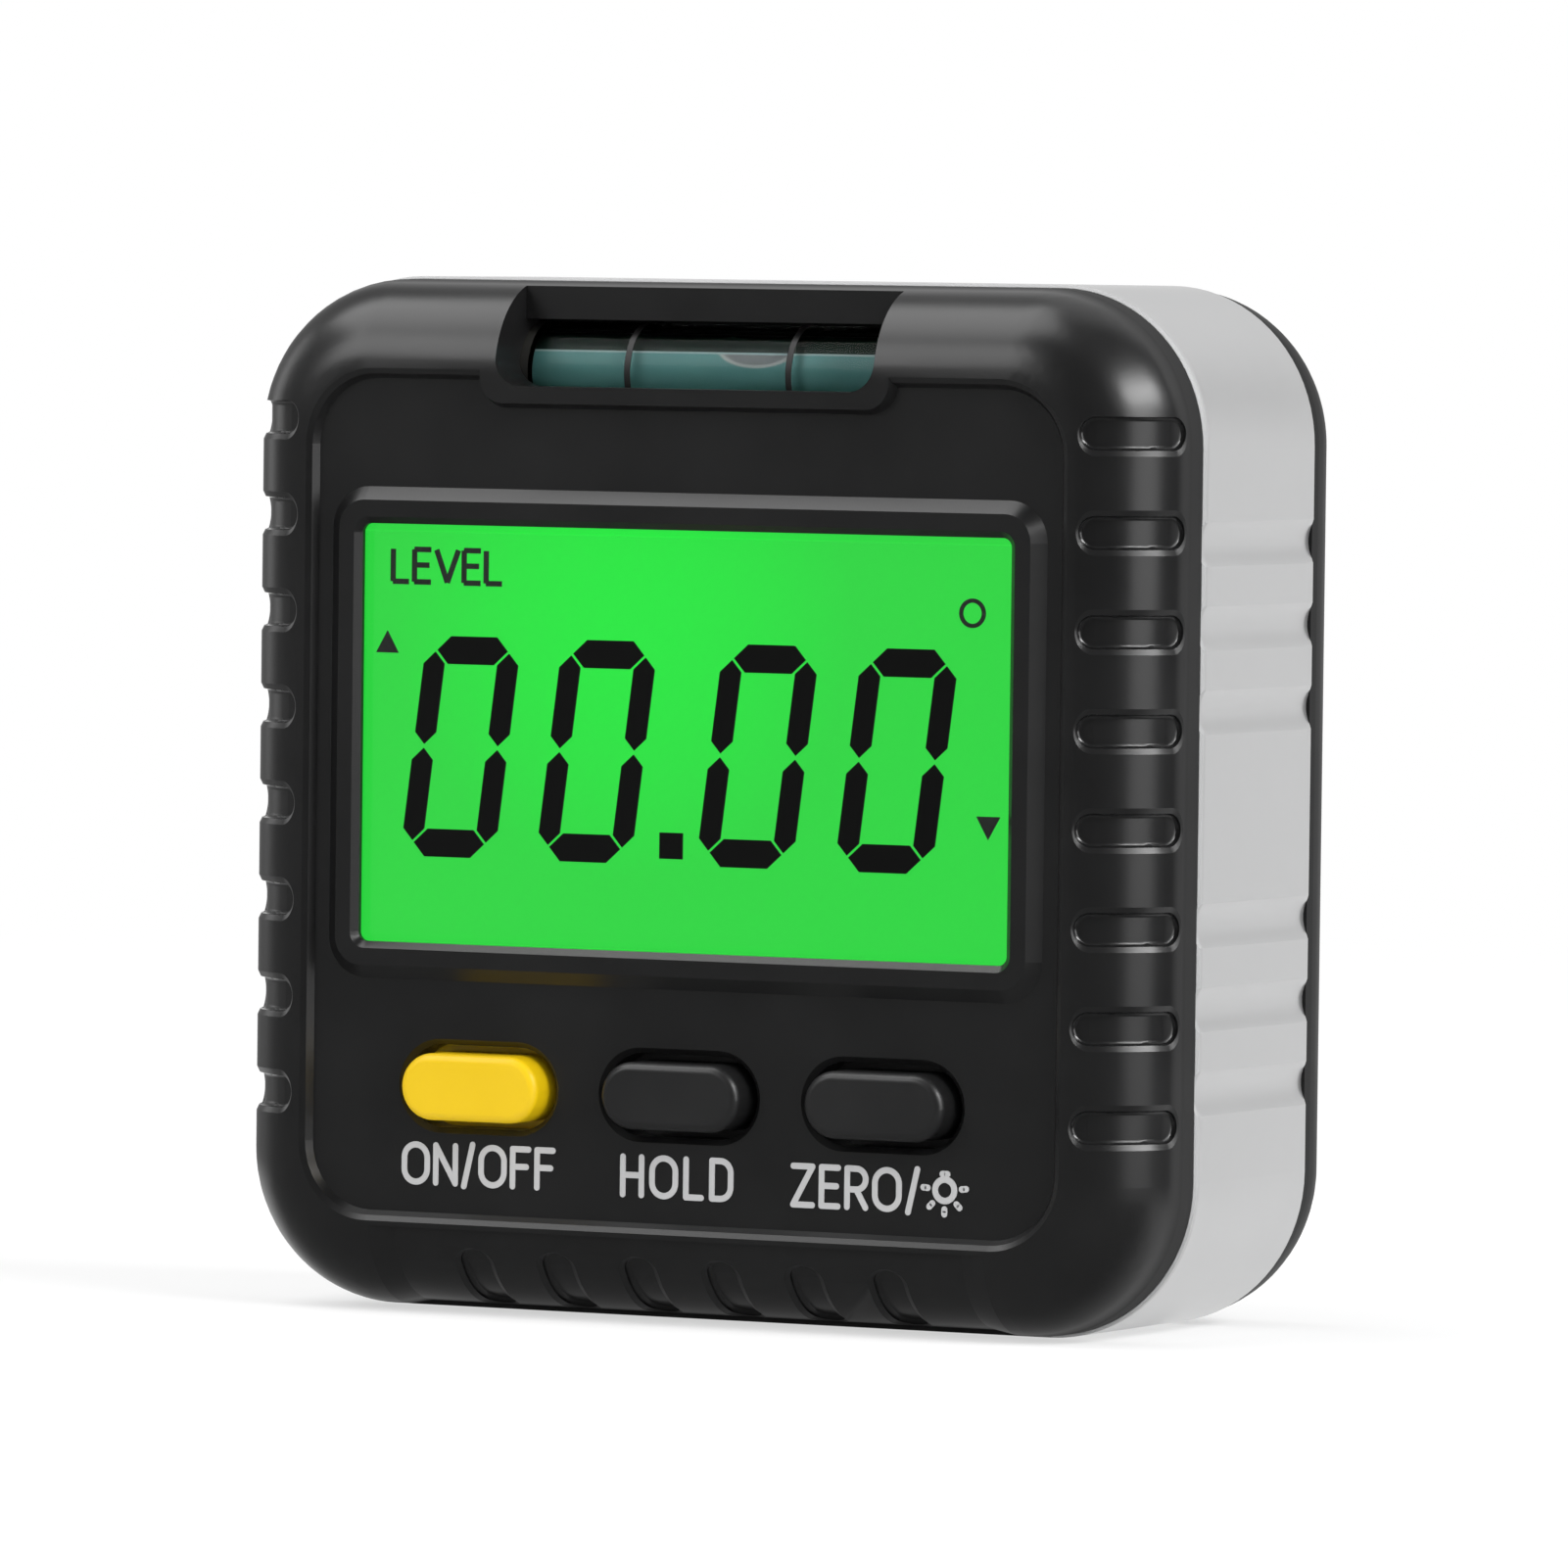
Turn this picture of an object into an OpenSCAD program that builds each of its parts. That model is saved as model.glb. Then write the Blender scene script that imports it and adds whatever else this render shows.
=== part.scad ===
// Digital angle gauge: a square box level with a lit display, a bubble vial and three push buttons.
// Two moulded covers clamp an extruded aluminium frame; the frame's underside is the measuring face.
// Units are millimetres. +Z is up, -Y faces the user, and the origin is the middle of the measuring face.

/* [Body] */
// Width of the frame, side to side
body_w = 55; // [49:0.5:66]
// Height of the frame, base to top
body_h = 55; // [49:0.5:66]
// Depth of the aluminium frame, front to back
frame_depth = 13.2; // [12.6:0.1:18]
// Outer corner radius of the frame
corner_r = 8.4; // [7.6:0.1:9.5]
// Wall of the frame at its sides and top
frame_wall = 1.6; // [1.4:0.1:2]
// Wall of the frame at its base, which holds the magnets
base_wall = 3; // [2.8:0.1:3.2]
// Chamfer on the front and back edges of the frame
frame_chamfer = 0.12; // [0.08:0.02:0.4]

/* [Frame grip] */
// Finger grooves in each group on the frame's sides
groove_count = 3; // [2:1:3]
// Height of one finger groove
groove_h = 2.3; // [1.8:0.1:3]
// Depth of one finger groove
groove_depth = 0.36; // [0.2:0.02:0.5]

/* [Covers] */
// Depth of the front shell, from the frame to its front lip
shell_depth = 6.25; // [6.1:0.05:7]
// Depth of the rear cover
cover_depth = 4.9; // [4.7:0.1:6]
// Edge radius of the front shell
shell_edge_r = 5; // [4.6:0.1:5.4]
// Edge radius of the rear cover
cover_edge_r = 4.2; // [3.6:0.1:4.5]
// Wall of both moulded covers
wall = 2; // [1.8:0.1:2.2]
// Step by which the covers lie inside the frame's outline
cover_inset = 0.15; // [0.1:0.05:0.25]
// Thickness of the lip that locates each cover in the frame
tongue_t = 1; // [0.8:0.1:1.2]
// Depth of that lip in the frame
tongue_depth = 1.4; // [1:0.1:1.8]

/* [Front panel] */
// Width of the rim round the recessed panel
panel_margin = 4.85; // [4.6:0.05:5.2]
// Depth of the recessed panel
panel_recess = 0.6; // [0.4:0.05:0.8]
// Width of the slope at the panel's edge
panel_slope = 0.25; // [0.15:0.05:0.5]
// Width of the flat bevel round the recess, next to the lip
panel_bevel = 0.3; // [0.1:0.05:0.4]

/* [Screen] */
// From the screen opening out to the frame's side
screen_side = 8.2; // [8:0.1:10]
// From the screen opening up to the frame's top
screen_top = 13.1; // [12.8:0.1:14]
// From the screen opening down to the base
screen_foot = 19.7; // [19.4:0.1:21]
// Width of the raised frame round the screen
bezel_margin = 1.95; // [1.8:0.05:2.1]
// Bevel on the outside of that frame
bezel_bevel = 0.7; // [0.5:0.05:0.8]
// Outer corner radius of that frame
bezel_r = 2.2; // [1.6:0.1:2.6]
// Chamfer on the edge of the screen opening
window_chamfer = 0.35; // [0.2:0.05:0.5]
// Thickness of the clear screen window
lens_t = 0.6; // [0.5:0.05:0.8]
// Thickness of the liquid crystal cell
lcd_t = 1.8; // [1.6:0.1:2]
// Thickness of the backlight
backlight_t = 2.2; // [2:0.1:2.4]
// Share of the screen opening's height that the digits take
digit_share = 0.528; // [0.4:0.004:0.56]
// Thickness of the level segments
segment_t = 1.48; // [1.1:0.02:1.6]
// Width of the upright segments
segment_w = 1.25; // [1:0.05:1.4]

/* [Buttons] */
// Height of a button cap
button_h = 3.55; // [3.2:0.05:3.8]
// Height of the buttons above the base
button_z = 12.15; // [12:0.05:12.4]
// Height of the caps above the panel
button_raise = 1.3; // [1:0.05:1.6]
// Gap round each cap
button_gap = 0.42; // [0.3:0.02:0.5]
// Travel of each button
button_travel = 0.3; // [0.2:0.05:0.35]

/* [Grip slots] */
// Grip slots down each side of the front shell
grip_count = 8; // [5:1:8]
// Grip slots along the bottom edge
foot_grip_count = 6; // [3:1:6]
// Width of a grip slot between its walls
grip_w = 1.75; // [1.5:0.05:2.1]
// Depth of a grip slot
grip_depth = 0.44; // [0.42:0.01:0.6]
// Radius between the floor and the wall of a grip slot
grip_floor_r = 0.24; // [0.1:0.02:0.26]
// Width of the bevel round the mouth of a grip slot
grip_bevel = 0.3; // [0.1:0.01:0.32]

/* [Vial] */
// Outer diameter of the vial
vial_d = 5.2; // [4.8:0.1:5.3]
// Wall of the vial's tube
vial_wall = 0.55; // [0.4:0.05:0.7]
// Length of the air bubble
bubble_len = 5.6; // [4.5:0.1:7]
// From the lower lip of the opening before the vial up to the frame's top
vial_lip = 5.7; // [5.5:0.1:5.9]
// Depth of that opening into the front shell
vial_window_depth = 3.4; // [3:0.1:3.8]
// Width of the rim under that opening
vial_rim = 1.15; // [0.9:0.05:1.3]

/* [Battery and fixings] */
// Diameter of a battery cell
cell_d = 10.5; // [10:0.1:10.6]
// Room at each end of a cell for contacts, springs, bay and frame
cell_end = 5.25; // [5.2:0.05:6]
// Height of the battery door
door_h = 23; // [22.8:0.1:24]
// Thickness of the battery door
door_t = 1.6; // [1.4:0.1:1.7]
// Diameter of a base magnet
magnet_d = 8; // [6:0.5:10]
// Thickness of a base magnet
magnet_t = 2; // [1.5:0.1:2.2]
// Diameter of the case screws
screw_d = 2.2; // [2:0.1:2.4]

/* [Hidden] */
$fn = 48;

// Clearances: for glued or laid-in pieces, and for sliding ones
seat_gap = 0.1;
slide_gap = 0.06;
// Overlap that joins solids of one piece
bite = 0.2;
// Cutters run this far past a face
past = 1;

// Places and spacings that follow the frame's width and height
groove_pitch = body_h * 0.0795;
groove_z = body_h * 0.4975;
groove_group_offset = body_h * 0.1804;
window_w = body_w - 2 * screen_side;
window_h = body_h - screen_top - screen_foot;
window_z = screen_foot + window_h / 2;
button_pitch = body_w * 0.219;
button_w = button_pitch * 0.68;
grip_pitch = body_h * 0.0933;
grip_z = body_h * 0.5355;
foot_grip_pitch = body_w * 0.0896;
vial_len = body_w * 0.48;
vial_line_gap = vial_len * 0.364;
vial_window_w = vial_len * 0.852;
vial_window_z = body_h - vial_lip;
cell_len = body_w - 2 * cell_end;
door_w = cell_len + 0.5;
magnet_gap = body_w * 0.51;

// Levels along the view axis, counted from the frame's middle towards the user
frame_front = frame_depth / 2;
frame_back = -frame_depth / 2;
lip = frame_front + shell_depth;
panel = lip - panel_recess;
panel_back = panel - wall;
back = frame_back - cover_depth;
back_inner = back + wall;
lens_front = lip - panel_recess;
lcd_front = lens_front - lens_t;
lcd_back = lcd_front - lcd_t;
board_front = lcd_back - backlight_t;
board_t = 1.6;
board_back = board_front - board_t;

// Outlines
cover_w = body_w - 2 * cover_inset;
cover_h = body_h - 2 * cover_inset;
cover_corner_r = corner_r - cover_inset;
mid_z = body_h / 2;
bore_w = body_w - 2 * frame_wall;
bore_h = body_h - frame_wall - base_wall;
bore_z = base_wall + bore_h / 2;
bore_r = corner_r - frame_wall;
panel_w = body_w - 2 * panel_margin;
panel_h = body_h - 2 * panel_margin;
panel_r = corner_r - panel_margin;

// Display glass, larger than the opening all round
lcd_border = 1.2;
lcd_w = window_w + 2 * lcd_border;
lcd_h = window_h + 2 * lcd_border;
lcd_ledge = 1.6;
zebra_w = 1.4;

// Circuit board, clear of the case bosses and the vial
switch_w = 4.6;
board_side = 1.5;
board_foot = 0.3;
board_head = 2.9;
board_w = lcd_w + 2 * board_side;
board_low = button_z - switch_w / 2 - board_foot;
board_high = window_z + lcd_h / 2 + board_head;
board_post_d = 3;
board_screw_d = 1.5;
board_post_upper_x = lcd_w / 3;
board_post_upper_z = window_z + lcd_h / 2 + 0.2 + board_post_d / 2;
board_post_lower_x = board_w / 2 - board_post_d / 2;
board_screw_reach = 2.2;
board_head_h = 0.9;
chip_x = board_w * 0.23;
chip_w = 7;
chip_t = 1.2;
sensor_w = 5;
sensor_t = 1.5;

// Switches under the buttons
switch_h = 1.2;
plunger_d = 2.2;
plunger_rise = button_travel + 0.15;
plunger_top = board_front + switch_h + plunger_rise;
flange_t = 0.8;
flange_rim = 0.8;

// Vial
vial_r = vial_d / 2;
vial_level = lip - vial_window_depth - 2;
vial_z = vial_window_z + 0.8;
vial_bore_r = vial_r - vial_wall;
plug_len = 2.4;
bubble_r = vial_bore_r * 0.62;

// Case screws, in the corners inside the frame
screw_out = 1.7;
screw_down = 3;
screw_up = 2.2;
screw_x = body_w / 2 - corner_r + screw_out;
screw_low_z = base_wall + bore_r - screw_down;
screw_high_z = body_h - corner_r + screw_up;
boss_r = 2.6;
boss_split = 0.6;
screw_head_d = 3.9;
screw_head_h = 1.6;
screw_sink = 3.2;
screw_reach = 7.2;

// Battery bay: two cells side by side, turned opposite ways
cell_gap = 0.5;
cell_level = back + door_t + 0.2 + cell_d / 2;
cell_offset = (cell_d + cell_gap) / 2;
nub_d = 3.8;
nub_h = 0.8;
contact_t = 0.4;
spring_len = 3.2;
spring_wire = 0.5;
bay_w = cell_len + spring_len + 2 * contact_t;
bay_h = door_h + 2 * seat_gap;
bay_floor = cell_level + cell_d / 2 + seat_gap;
bay_wall = 1.2;
contact_w = 8.6;
door_gap = 0.2;
tab_w = 4;
tab_len = 1.1;
tab_t = 0.8;
tab_root = 1;
tab_slot_depth = 3.4;
latch_h = 2;
latch_inset = 0.4;
tab_x = door_w / 4;
hinge_level = back + door_t / 2;
hinge_z = mid_z + door_h / 2 - door_t / 2;

// Turns the working frame (x right, y up, z to the user) into the part's own frame
module stand() {
    rotate([90, 0, 0]) children();
}

// Places children at all four mirror images of a point
module four(x, y) {
    for (i = [-1, 1], j = [-1, 1])
        translate([i * x, j * y, 0]) children();
}

// A rounded rectangle in the plane
module plate2d(w, h, r) {
    square([w - 2 * r, h], center = true);
    square([w, h - 2 * r], center = true);
    four(w / 2 - r, h / 2 - r) circle(r);
}

// A rounded rectangle with a shaped edge: the child is the edge's section,
// with x counted outwards from the corner's axis and y upwards to the given height
module edged_block(w, h, r, height) {
    run_x = w - 2 * r;
    run_y = h - 2 * r;
    least = 0.001;
    for (i = [0:3])
        translate([(i == 0 || i == 3 ? 1 : -1) * run_x / 2, (i < 2 ? 1 : -1) * run_y / 2, 0])
            rotate(90 * i) rotate_extrude(angle = 90) children();
    for (s = [0, 180]) {
        if (run_y > least)
            rotate(s) translate([run_x / 2, run_y / 2, 0])
                rotate([90, 0, 0]) linear_extrude(run_y) children();
        if (run_x > least)
            rotate(s + 90) translate([run_y / 2, run_x / 2, 0])
                rotate([90, 0, 0]) linear_extrude(run_x) children();
    }
    if (run_x > least && run_y > least)
        translate([-run_x / 2, -run_y / 2, 0]) cube([run_x, run_y, height]);
}

// Edge section of a block with a rounded top edge
module round_edge(r, edge_r, height) {
    square([r, height - edge_r]);
    square([r - edge_r, height]);
    translate([r - edge_r, height - edge_r]) intersection() {
        circle(edge_r);
        square(edge_r);
    }
}

// Edge section of a block whose top edge is bevelled; a negative bevel flares outwards
module bevel_edge(r, bevel, bevel_h, height) {
    polygon([[0, 0], [r, 0], [r, height - bevel_h], [r - bevel, height], [0, height]]);
}

// Edge section of the panel's recess: a steep slope, then a flatter bevel up to the lip
panel_reach = panel_slope + panel_bevel;
module recess_edge(r) {
    bevel_foot = panel_recess - panel_bevel * 0.6;
    polygon([[0, 0], [r, 0], [r + panel_slope, bevel_foot],
             [r + panel_reach, panel_recess], [0, panel_recess]]);
}

// A cover's outer form: straight at the frame, rounded towards its face
module pillow(w, h, r, edge_r, depth) {
    edged_block(w, h, r, depth) round_edge(r, edge_r, depth);
}

// A stadium plate, such as a button's flange
module stadium(w, h, t) {
    linear_extrude(t) plate2d(w, h, h / 2 - 0.001);
}

// Places children at the case screws
module at_case_screws() {
    for (i = [-1, 1], z = [screw_low_z, screw_high_z])
        translate([i * screw_x, z, 0]) children();
}

// Places children at the circuit board's screws
module at_board_screws() {
    for (i = [-1, 1]) {
        translate([i * board_post_upper_x, board_post_upper_z, 0]) children();
        translate([i * board_post_lower_x, button_z, 0]) children();
    }
}

// Places children at the three buttons
module at_buttons() {
    for (i = [-1:1]) translate([i * button_pitch, button_z, 0]) children();
}

// Lip that enters the frame: three sides only, because the thick base leaves no room for it
module tongue() {
    difference() {
        translate([0, bore_z, 0]) linear_extrude(tongue_depth + bite) difference() {
            plate2d(bore_w - 2 * seat_gap, bore_h - 2 * seat_gap, bore_r - seat_gap);
            plate2d(bore_w - 2 * tongue_t, bore_h - 2 * tongue_t, bore_r - tongue_t);
        }
        translate([-body_w / 2, 0, -past])
            cube([body_w, base_wall + bore_r, tongue_depth + 2 * past]);
    }
}

// Grip slots follow the rounded edge of the shell: sectors about that edge's axis
grip_from = 16.8;
grip_to = 69.7;
foot_grip_to = 59.5;
grip_bevel_slope = 0.48;

// Half section of a slot's cutter, with a rounded floor and a bevelled mouth:
// x is outwards from the floor, y is half its width
module slot_section() {
    half = grip_w / 2;
    straight = grip_depth - grip_bevel * grip_bevel_slope;
    high = grip_depth + bite;
    mouth = half + grip_bevel + bite / grip_bevel_slope;
    translate([straight, 0]) rotate(90) round_edge(half, grip_floor_r, straight);
    polygon([[grip_floor_r, 0], [grip_floor_r, half], [straight, half], [high, mouth], [high, 0]]);
}

// One slot about the local Z axis, open outwards from the edge's surface
module grip_slot(r, reach) {
    rotate(grip_from) rotate_extrude(angle = reach - grip_from) translate([r - grip_depth, 0]) {
        slot_section();
        mirror([0, 1]) slot_section();
    }
    for (a = [grip_from, reach])
        rotate(a) translate([r - grip_depth, 0, 0]) rotate([0, 90, 0])
            rotate_extrude() rotate(90) mirror([0, 1]) slot_section();
}

// The axis of the shell's rounded edge lies this far inside its outline and below its lip
edge_axis_level = lip - shell_edge_r;
foot_recess = 0.25;
foot_end = 4.6;
foot_slope = 1.4;
foot_w = (foot_grip_count - 1) * foot_grip_pitch + 2 * foot_end;

// Places children on the side edges, one for each grip slot
module at_side_grips() {
    for (m = [0, 1]) mirror([m, 0, 0])
        for (i = [0:grip_count - 1])
            translate([cover_w / 2 - shell_edge_r, grip_z + (i - (grip_count - 1) / 2) * grip_pitch,
                       edge_axis_level])
                rotate([90, 0, 0]) children();
}

// Places children on the bottom edge, one for each grip slot
module at_foot_grips() {
    for (i = [0:foot_grip_count - 1])
        translate([(i - (foot_grip_count - 1) / 2) * foot_grip_pitch, cover_inset + shell_edge_r,
                   edge_axis_level])
            rotate([0, -90, 0]) rotate([0, 0, -90]) children();
}

// Shallow band along the bottom edge that carries the bottom grip slots
module foot_band() {
    low_half = foot_w / 2;
    high_half = foot_w / 2 + foot_slope;
    translate([0, cover_inset + shell_edge_r, edge_axis_level])
        rotate([0, -90, 0]) rotate([0, 0, -90])
            rotate(grip_from - 14) rotate_extrude(angle = grip_to - grip_from + 28)
                translate([shell_edge_r, 0]) polygon([
                    [-foot_recess, -low_half], [0, -high_half], [past, -high_half],
                    [past, high_half], [0, high_half], [-foot_recess, low_half]
                ]);
}

// Rim that carries the shell's edge form round the underside of the vial's opening
module vial_rim_block() {
    rim_w = vial_window_w + 2 * vial_rim;
    rim_low = vial_window_z - vial_rim;
    rim_high = body_h;
    rim_r = 1.6;
    intersection() {
        translate([0, (rim_low + rim_high) / 2, panel - bite])
            edged_block(rim_w, rim_high - rim_low, rim_r, panel_recess + bite)
                bevel_edge(rim_r, panel_slope, panel_recess, panel_recess + bite);
        translate([0, mid_z, frame_front])
            pillow(cover_w, cover_h, cover_corner_r, shell_edge_r, shell_depth);
    }
}

// Opening in the rounded top edge that shows the vial
module vial_opening() {
    opening_r = 1.5;
    low = vial_window_z;
    high = body_h + 2 * opening_r;
    translate([0, (low + high) / 2, lip - vial_window_depth])
        linear_extrude(vial_window_depth + past) plate2d(vial_window_w, high - low, opening_r);
    // Chamber behind it, up to the shell's top wall
    chamber_h = body_h - cover_inset - wall - low;
    chamber_depth = lip - vial_window_depth - frame_front + bite;
    translate([-vial_window_w / 2, low, frame_front]) cube([vial_window_w, chamber_h, chamber_depth]);
}

// Two ribs inside the shell with round seats for the ends of the vial
cradle_t = 1.6;
cradle_x = vial_len / 2 - cradle_t;
module vial_cradles() {
    for (m = [0, 1]) mirror([m, 0, 0]) difference() {
        intersection() {
            translate([cradle_x, vial_z - vial_r - wall / 2, vial_level - vial_r])
                cube([cradle_t, body_h, lip]);
            translate([0, mid_z, frame_front - vial_r])
                linear_extrude(lip) plate2d(bore_w - 2 * tongue_t, bore_h, bore_r);
            union() {
                translate([0, mid_z, frame_front])
                    pillow(cover_w - wall, cover_h - wall, cover_corner_r - wall / 2,
                           shell_edge_r - wall / 2, shell_depth - wall / 2 - panel_recess);
                translate([0, bore_z, 0]) linear_extrude(frame_front + past)
                    plate2d(bore_w - 2 * tongue_t, bore_h - 2 * tongue_t, bore_r - tongue_t);
            }
        }
        translate([cradle_x - past, vial_z, vial_level]) {
            rotate([0, 90, 0]) cylinder(r = vial_r + slide_gap, h = cradle_t + 2 * past);
            translate([0, -vial_r - slide_gap, -lip])
                cube([cradle_t + 2 * past, 2 * (vial_r + slide_gap), lip]);
        }
    }
}

module front_shell() {
    color("#1d1d1f") stand() {
        difference() {
            union() {
                difference() {
                    translate([0, mid_z, frame_front])
                        pillow(cover_w, cover_h, cover_corner_r, shell_edge_r, shell_depth);
                    // Hollow behind the face
                    translate([0, mid_z, frame_front - past])
                        pillow(cover_w - 2 * wall, cover_h - 2 * wall, cover_corner_r - wall,
                               shell_edge_r - wall, panel_back - frame_front + past);
                    // Recessed panel with a sloping edge
                    translate([0, mid_z, panel])
                        edged_block(panel_w - 2 * panel_reach, panel_h - 2 * panel_reach,
                                    panel_r, panel_recess)
                            recess_edge(panel_r);
                    foot_band();
                    at_side_grips() grip_slot(shell_edge_r, grip_to);
                    at_foot_grips() grip_slot(shell_edge_r - foot_recess, foot_grip_to);
                }
                // Raised frame round the screen
                translate([0, window_z, panel - bite])
                    edged_block(window_w + 2 * bezel_margin, window_h + 2 * bezel_margin, bezel_r,
                                panel_recess + bite)
                        bevel_edge(bezel_r, bezel_bevel, panel_recess, panel_recess + bite);
                vial_rim_block();
                vial_cradles();
                translate([0, 0, frame_front - tongue_depth]) tongue();
                at_case_screws() translate([0, 0, boss_split])
                    cylinder(r = boss_r, h = panel_back - boss_split + bite);
                at_board_screws() translate([0, 0, board_front])
                    cylinder(d = board_post_d, h = panel_back - board_front + bite);
            }
            // Screen opening with a chamfered edge, and the pocket behind it for window and display
            window_r = 0.5;
            translate([0, window_z, lens_front - past])
                edged_block(window_w, window_h, window_r, panel_recess + past)
                    bevel_edge(window_r, -window_chamfer, window_chamfer, panel_recess + past);
            translate([-lcd_w / 2 - seat_gap, window_z - lcd_h / 2 - seat_gap, panel_back - past])
                cube([lcd_w + 2 * seat_gap, lcd_h + 2 * seat_gap, lens_front - panel_back + past]);
            // Button holes with a lead-in
            hole_r = button_h / 2 + button_gap - 0.001;
            lead_in = 0.3;
            at_buttons() translate([0, 0, panel_back - past])
                edged_block(button_w + 2 * button_gap, button_h + 2 * button_gap, hole_r, wall + past)
                    bevel_edge(hole_r, -lead_in, lead_in, wall + past);
            vial_opening();
            // Room for the vial along its whole length
            translate([0, vial_z, vial_level]) rotate([0, 90, 0])
                cylinder(r = vial_r + slide_gap, h = vial_len + 2 * seat_gap, center = true);
            // Pilot holes for the screws
            at_case_screws() translate([0, 0, boss_split - past])
                cylinder(d = screw_d + 0.02, h = screw_reach + past + seat_gap);
            at_board_screws() translate([0, 0, board_front - past])
                cylinder(d = board_screw_d + 0.02, h = past + board_screw_reach + bite);
        }
    }
}

// The frame's section, with shallow finger grooves down both sides
module frame_outline() {
    groove_r = (pow(groove_h / 2, 2) + pow(groove_depth, 2)) / (2 * groove_depth);
    difference() {
        translate([0, mid_z]) plate2d(body_w, body_h, corner_r);
        translate([0, bore_z]) plate2d(bore_w, bore_h, bore_r);
        for (s = [-1, 1], g = [-1, 1], i = [0:groove_count - 1])
            translate([s * (body_w / 2 + groove_r - groove_depth),
                       groove_z + g * groove_group_offset + (i - (groove_count - 1) / 2) * groove_pitch])
                circle(groove_r);
    }
}

// Places children at the base magnets, with Z along their axis into the frame
module at_magnets() {
    for (s = [-1, 1]) translate([s * magnet_gap / 2, 0, 0]) rotate([-90, 0, 0]) children();
}

module side_frame() {
    color("#c9cbcd") stand() difference() {
        intersection() {
            translate([0, 0, frame_back]) linear_extrude(frame_depth) frame_outline();
            // Chamfers both ends of the extrusion
            for (m = [0, 1]) mirror([0, 0, m]) translate([0, mid_z, 0])
                edged_block(body_w, body_h, corner_r, frame_front)
                    bevel_edge(corner_r, frame_chamfer, frame_chamfer, frame_front);
        }
        at_magnets() translate([0, 0, -past])
            cylinder(d = magnet_d + 0.04, h = magnet_t + past);
    }
}

module base_magnets() {
    color("#8d9093") stand() at_magnets() cylinder(d = magnet_d, h = magnet_t);
}

// Battery bay moulded into the rear cover: open to the door, closed towards the board
module bay_shell() {
    translate([-bay_w / 2 - bay_wall, mid_z - bay_h / 2 - bay_wall, back_inner - bite])
        cube([bay_w + 2 * bay_wall, bay_h + 2 * bay_wall, bay_floor - back_inner + bay_wall + bite]);
}

module bay_hollow() {
    translate([-bay_w / 2, mid_z - bay_h / 2, back_inner])
        cube([bay_w, bay_h, bay_floor - back_inner]);
    // Door opening through the outer wall
    translate([-door_w / 2 - door_gap, mid_z - door_h / 2 - door_gap, back - past])
        cube([door_w + 2 * door_gap, door_h + 2 * door_gap, wall + 2 * past]);
    // Slots that take the door's tabs as it swings
    for (s = [-1, 1])
        translate([s * tab_x - tab_w / 2 - door_gap, mid_z + bay_h / 2 - past, back_inner])
            cube([tab_w + 2 * door_gap, tab_len + 2 * past, tab_slot_depth]);
    // Slots in the floor for the contacts' tails
    for (s = [-1, 1])
        translate([bay_w / 2 - contact_t - seat_gap, mid_z + s * cell_offset - tail_w / 2 - seat_gap,
                   bay_floor - past])
            cube([contact_t + 2 * seat_gap, tail_w + 2 * seat_gap, bay_wall + 2 * past]);
}

// Low ribs on the bay's floor that cradle the cells
module cell_ribs() {
    rib_t = 1.2;
    for (s = [-1, 1], x = [-cell_len / 4, cell_len / 4])
        translate([x - rib_t / 2, mid_z + s * cell_offset, cell_level]) difference() {
            translate([0, -cell_offset - cell_gap / 2, cell_d / 4])
                cube([rib_t, 2 * cell_offset + cell_gap, cell_d / 4 + seat_gap + bite]);
            translate([-past, 0, 0]) rotate([0, 90, 0])
                cylinder(d = cell_d + 2 * seat_gap, h = rib_t + 2 * past);
        }
}

module rear_cover() {
    color("#1d1d1f") stand() difference() {
        union() {
            difference() {
                translate([0, mid_z, frame_back]) mirror([0, 0, 1])
                    pillow(cover_w, cover_h, cover_corner_r, cover_edge_r, cover_depth);
                translate([0, mid_z, frame_back + past]) mirror([0, 0, 1])
                    pillow(cover_w - 2 * wall, cover_h - 2 * wall, cover_corner_r - wall,
                           cover_edge_r - wall, cover_depth - wall + past);
            }
            translate([0, 0, frame_back + tongue_depth]) mirror([0, 0, 1]) tongue();
            difference() {
                bay_shell();
                bay_hollow();
            }
            cell_ribs();
            at_case_screws() translate([0, 0, back_inner - bite])
                cylinder(r = boss_r + 0.3, h = boss_split - seat_gap - back_inner + bite);
        }
        bay_hollow();
        at_case_screws() translate([0, 0, back - past]) {
            cylinder(d = screw_d + 0.4, h = boss_split - back + 2 * past);
            cylinder(d = screw_head_d + 0.3, h = screw_sink + past);
        }
        // Thumb notch under the door's latch
        notch_r = 9;
        translate([0, mid_z - door_h / 2 - 1.6, back - notch_r + 0.7]) sphere(notch_r);
    }
}

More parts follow.
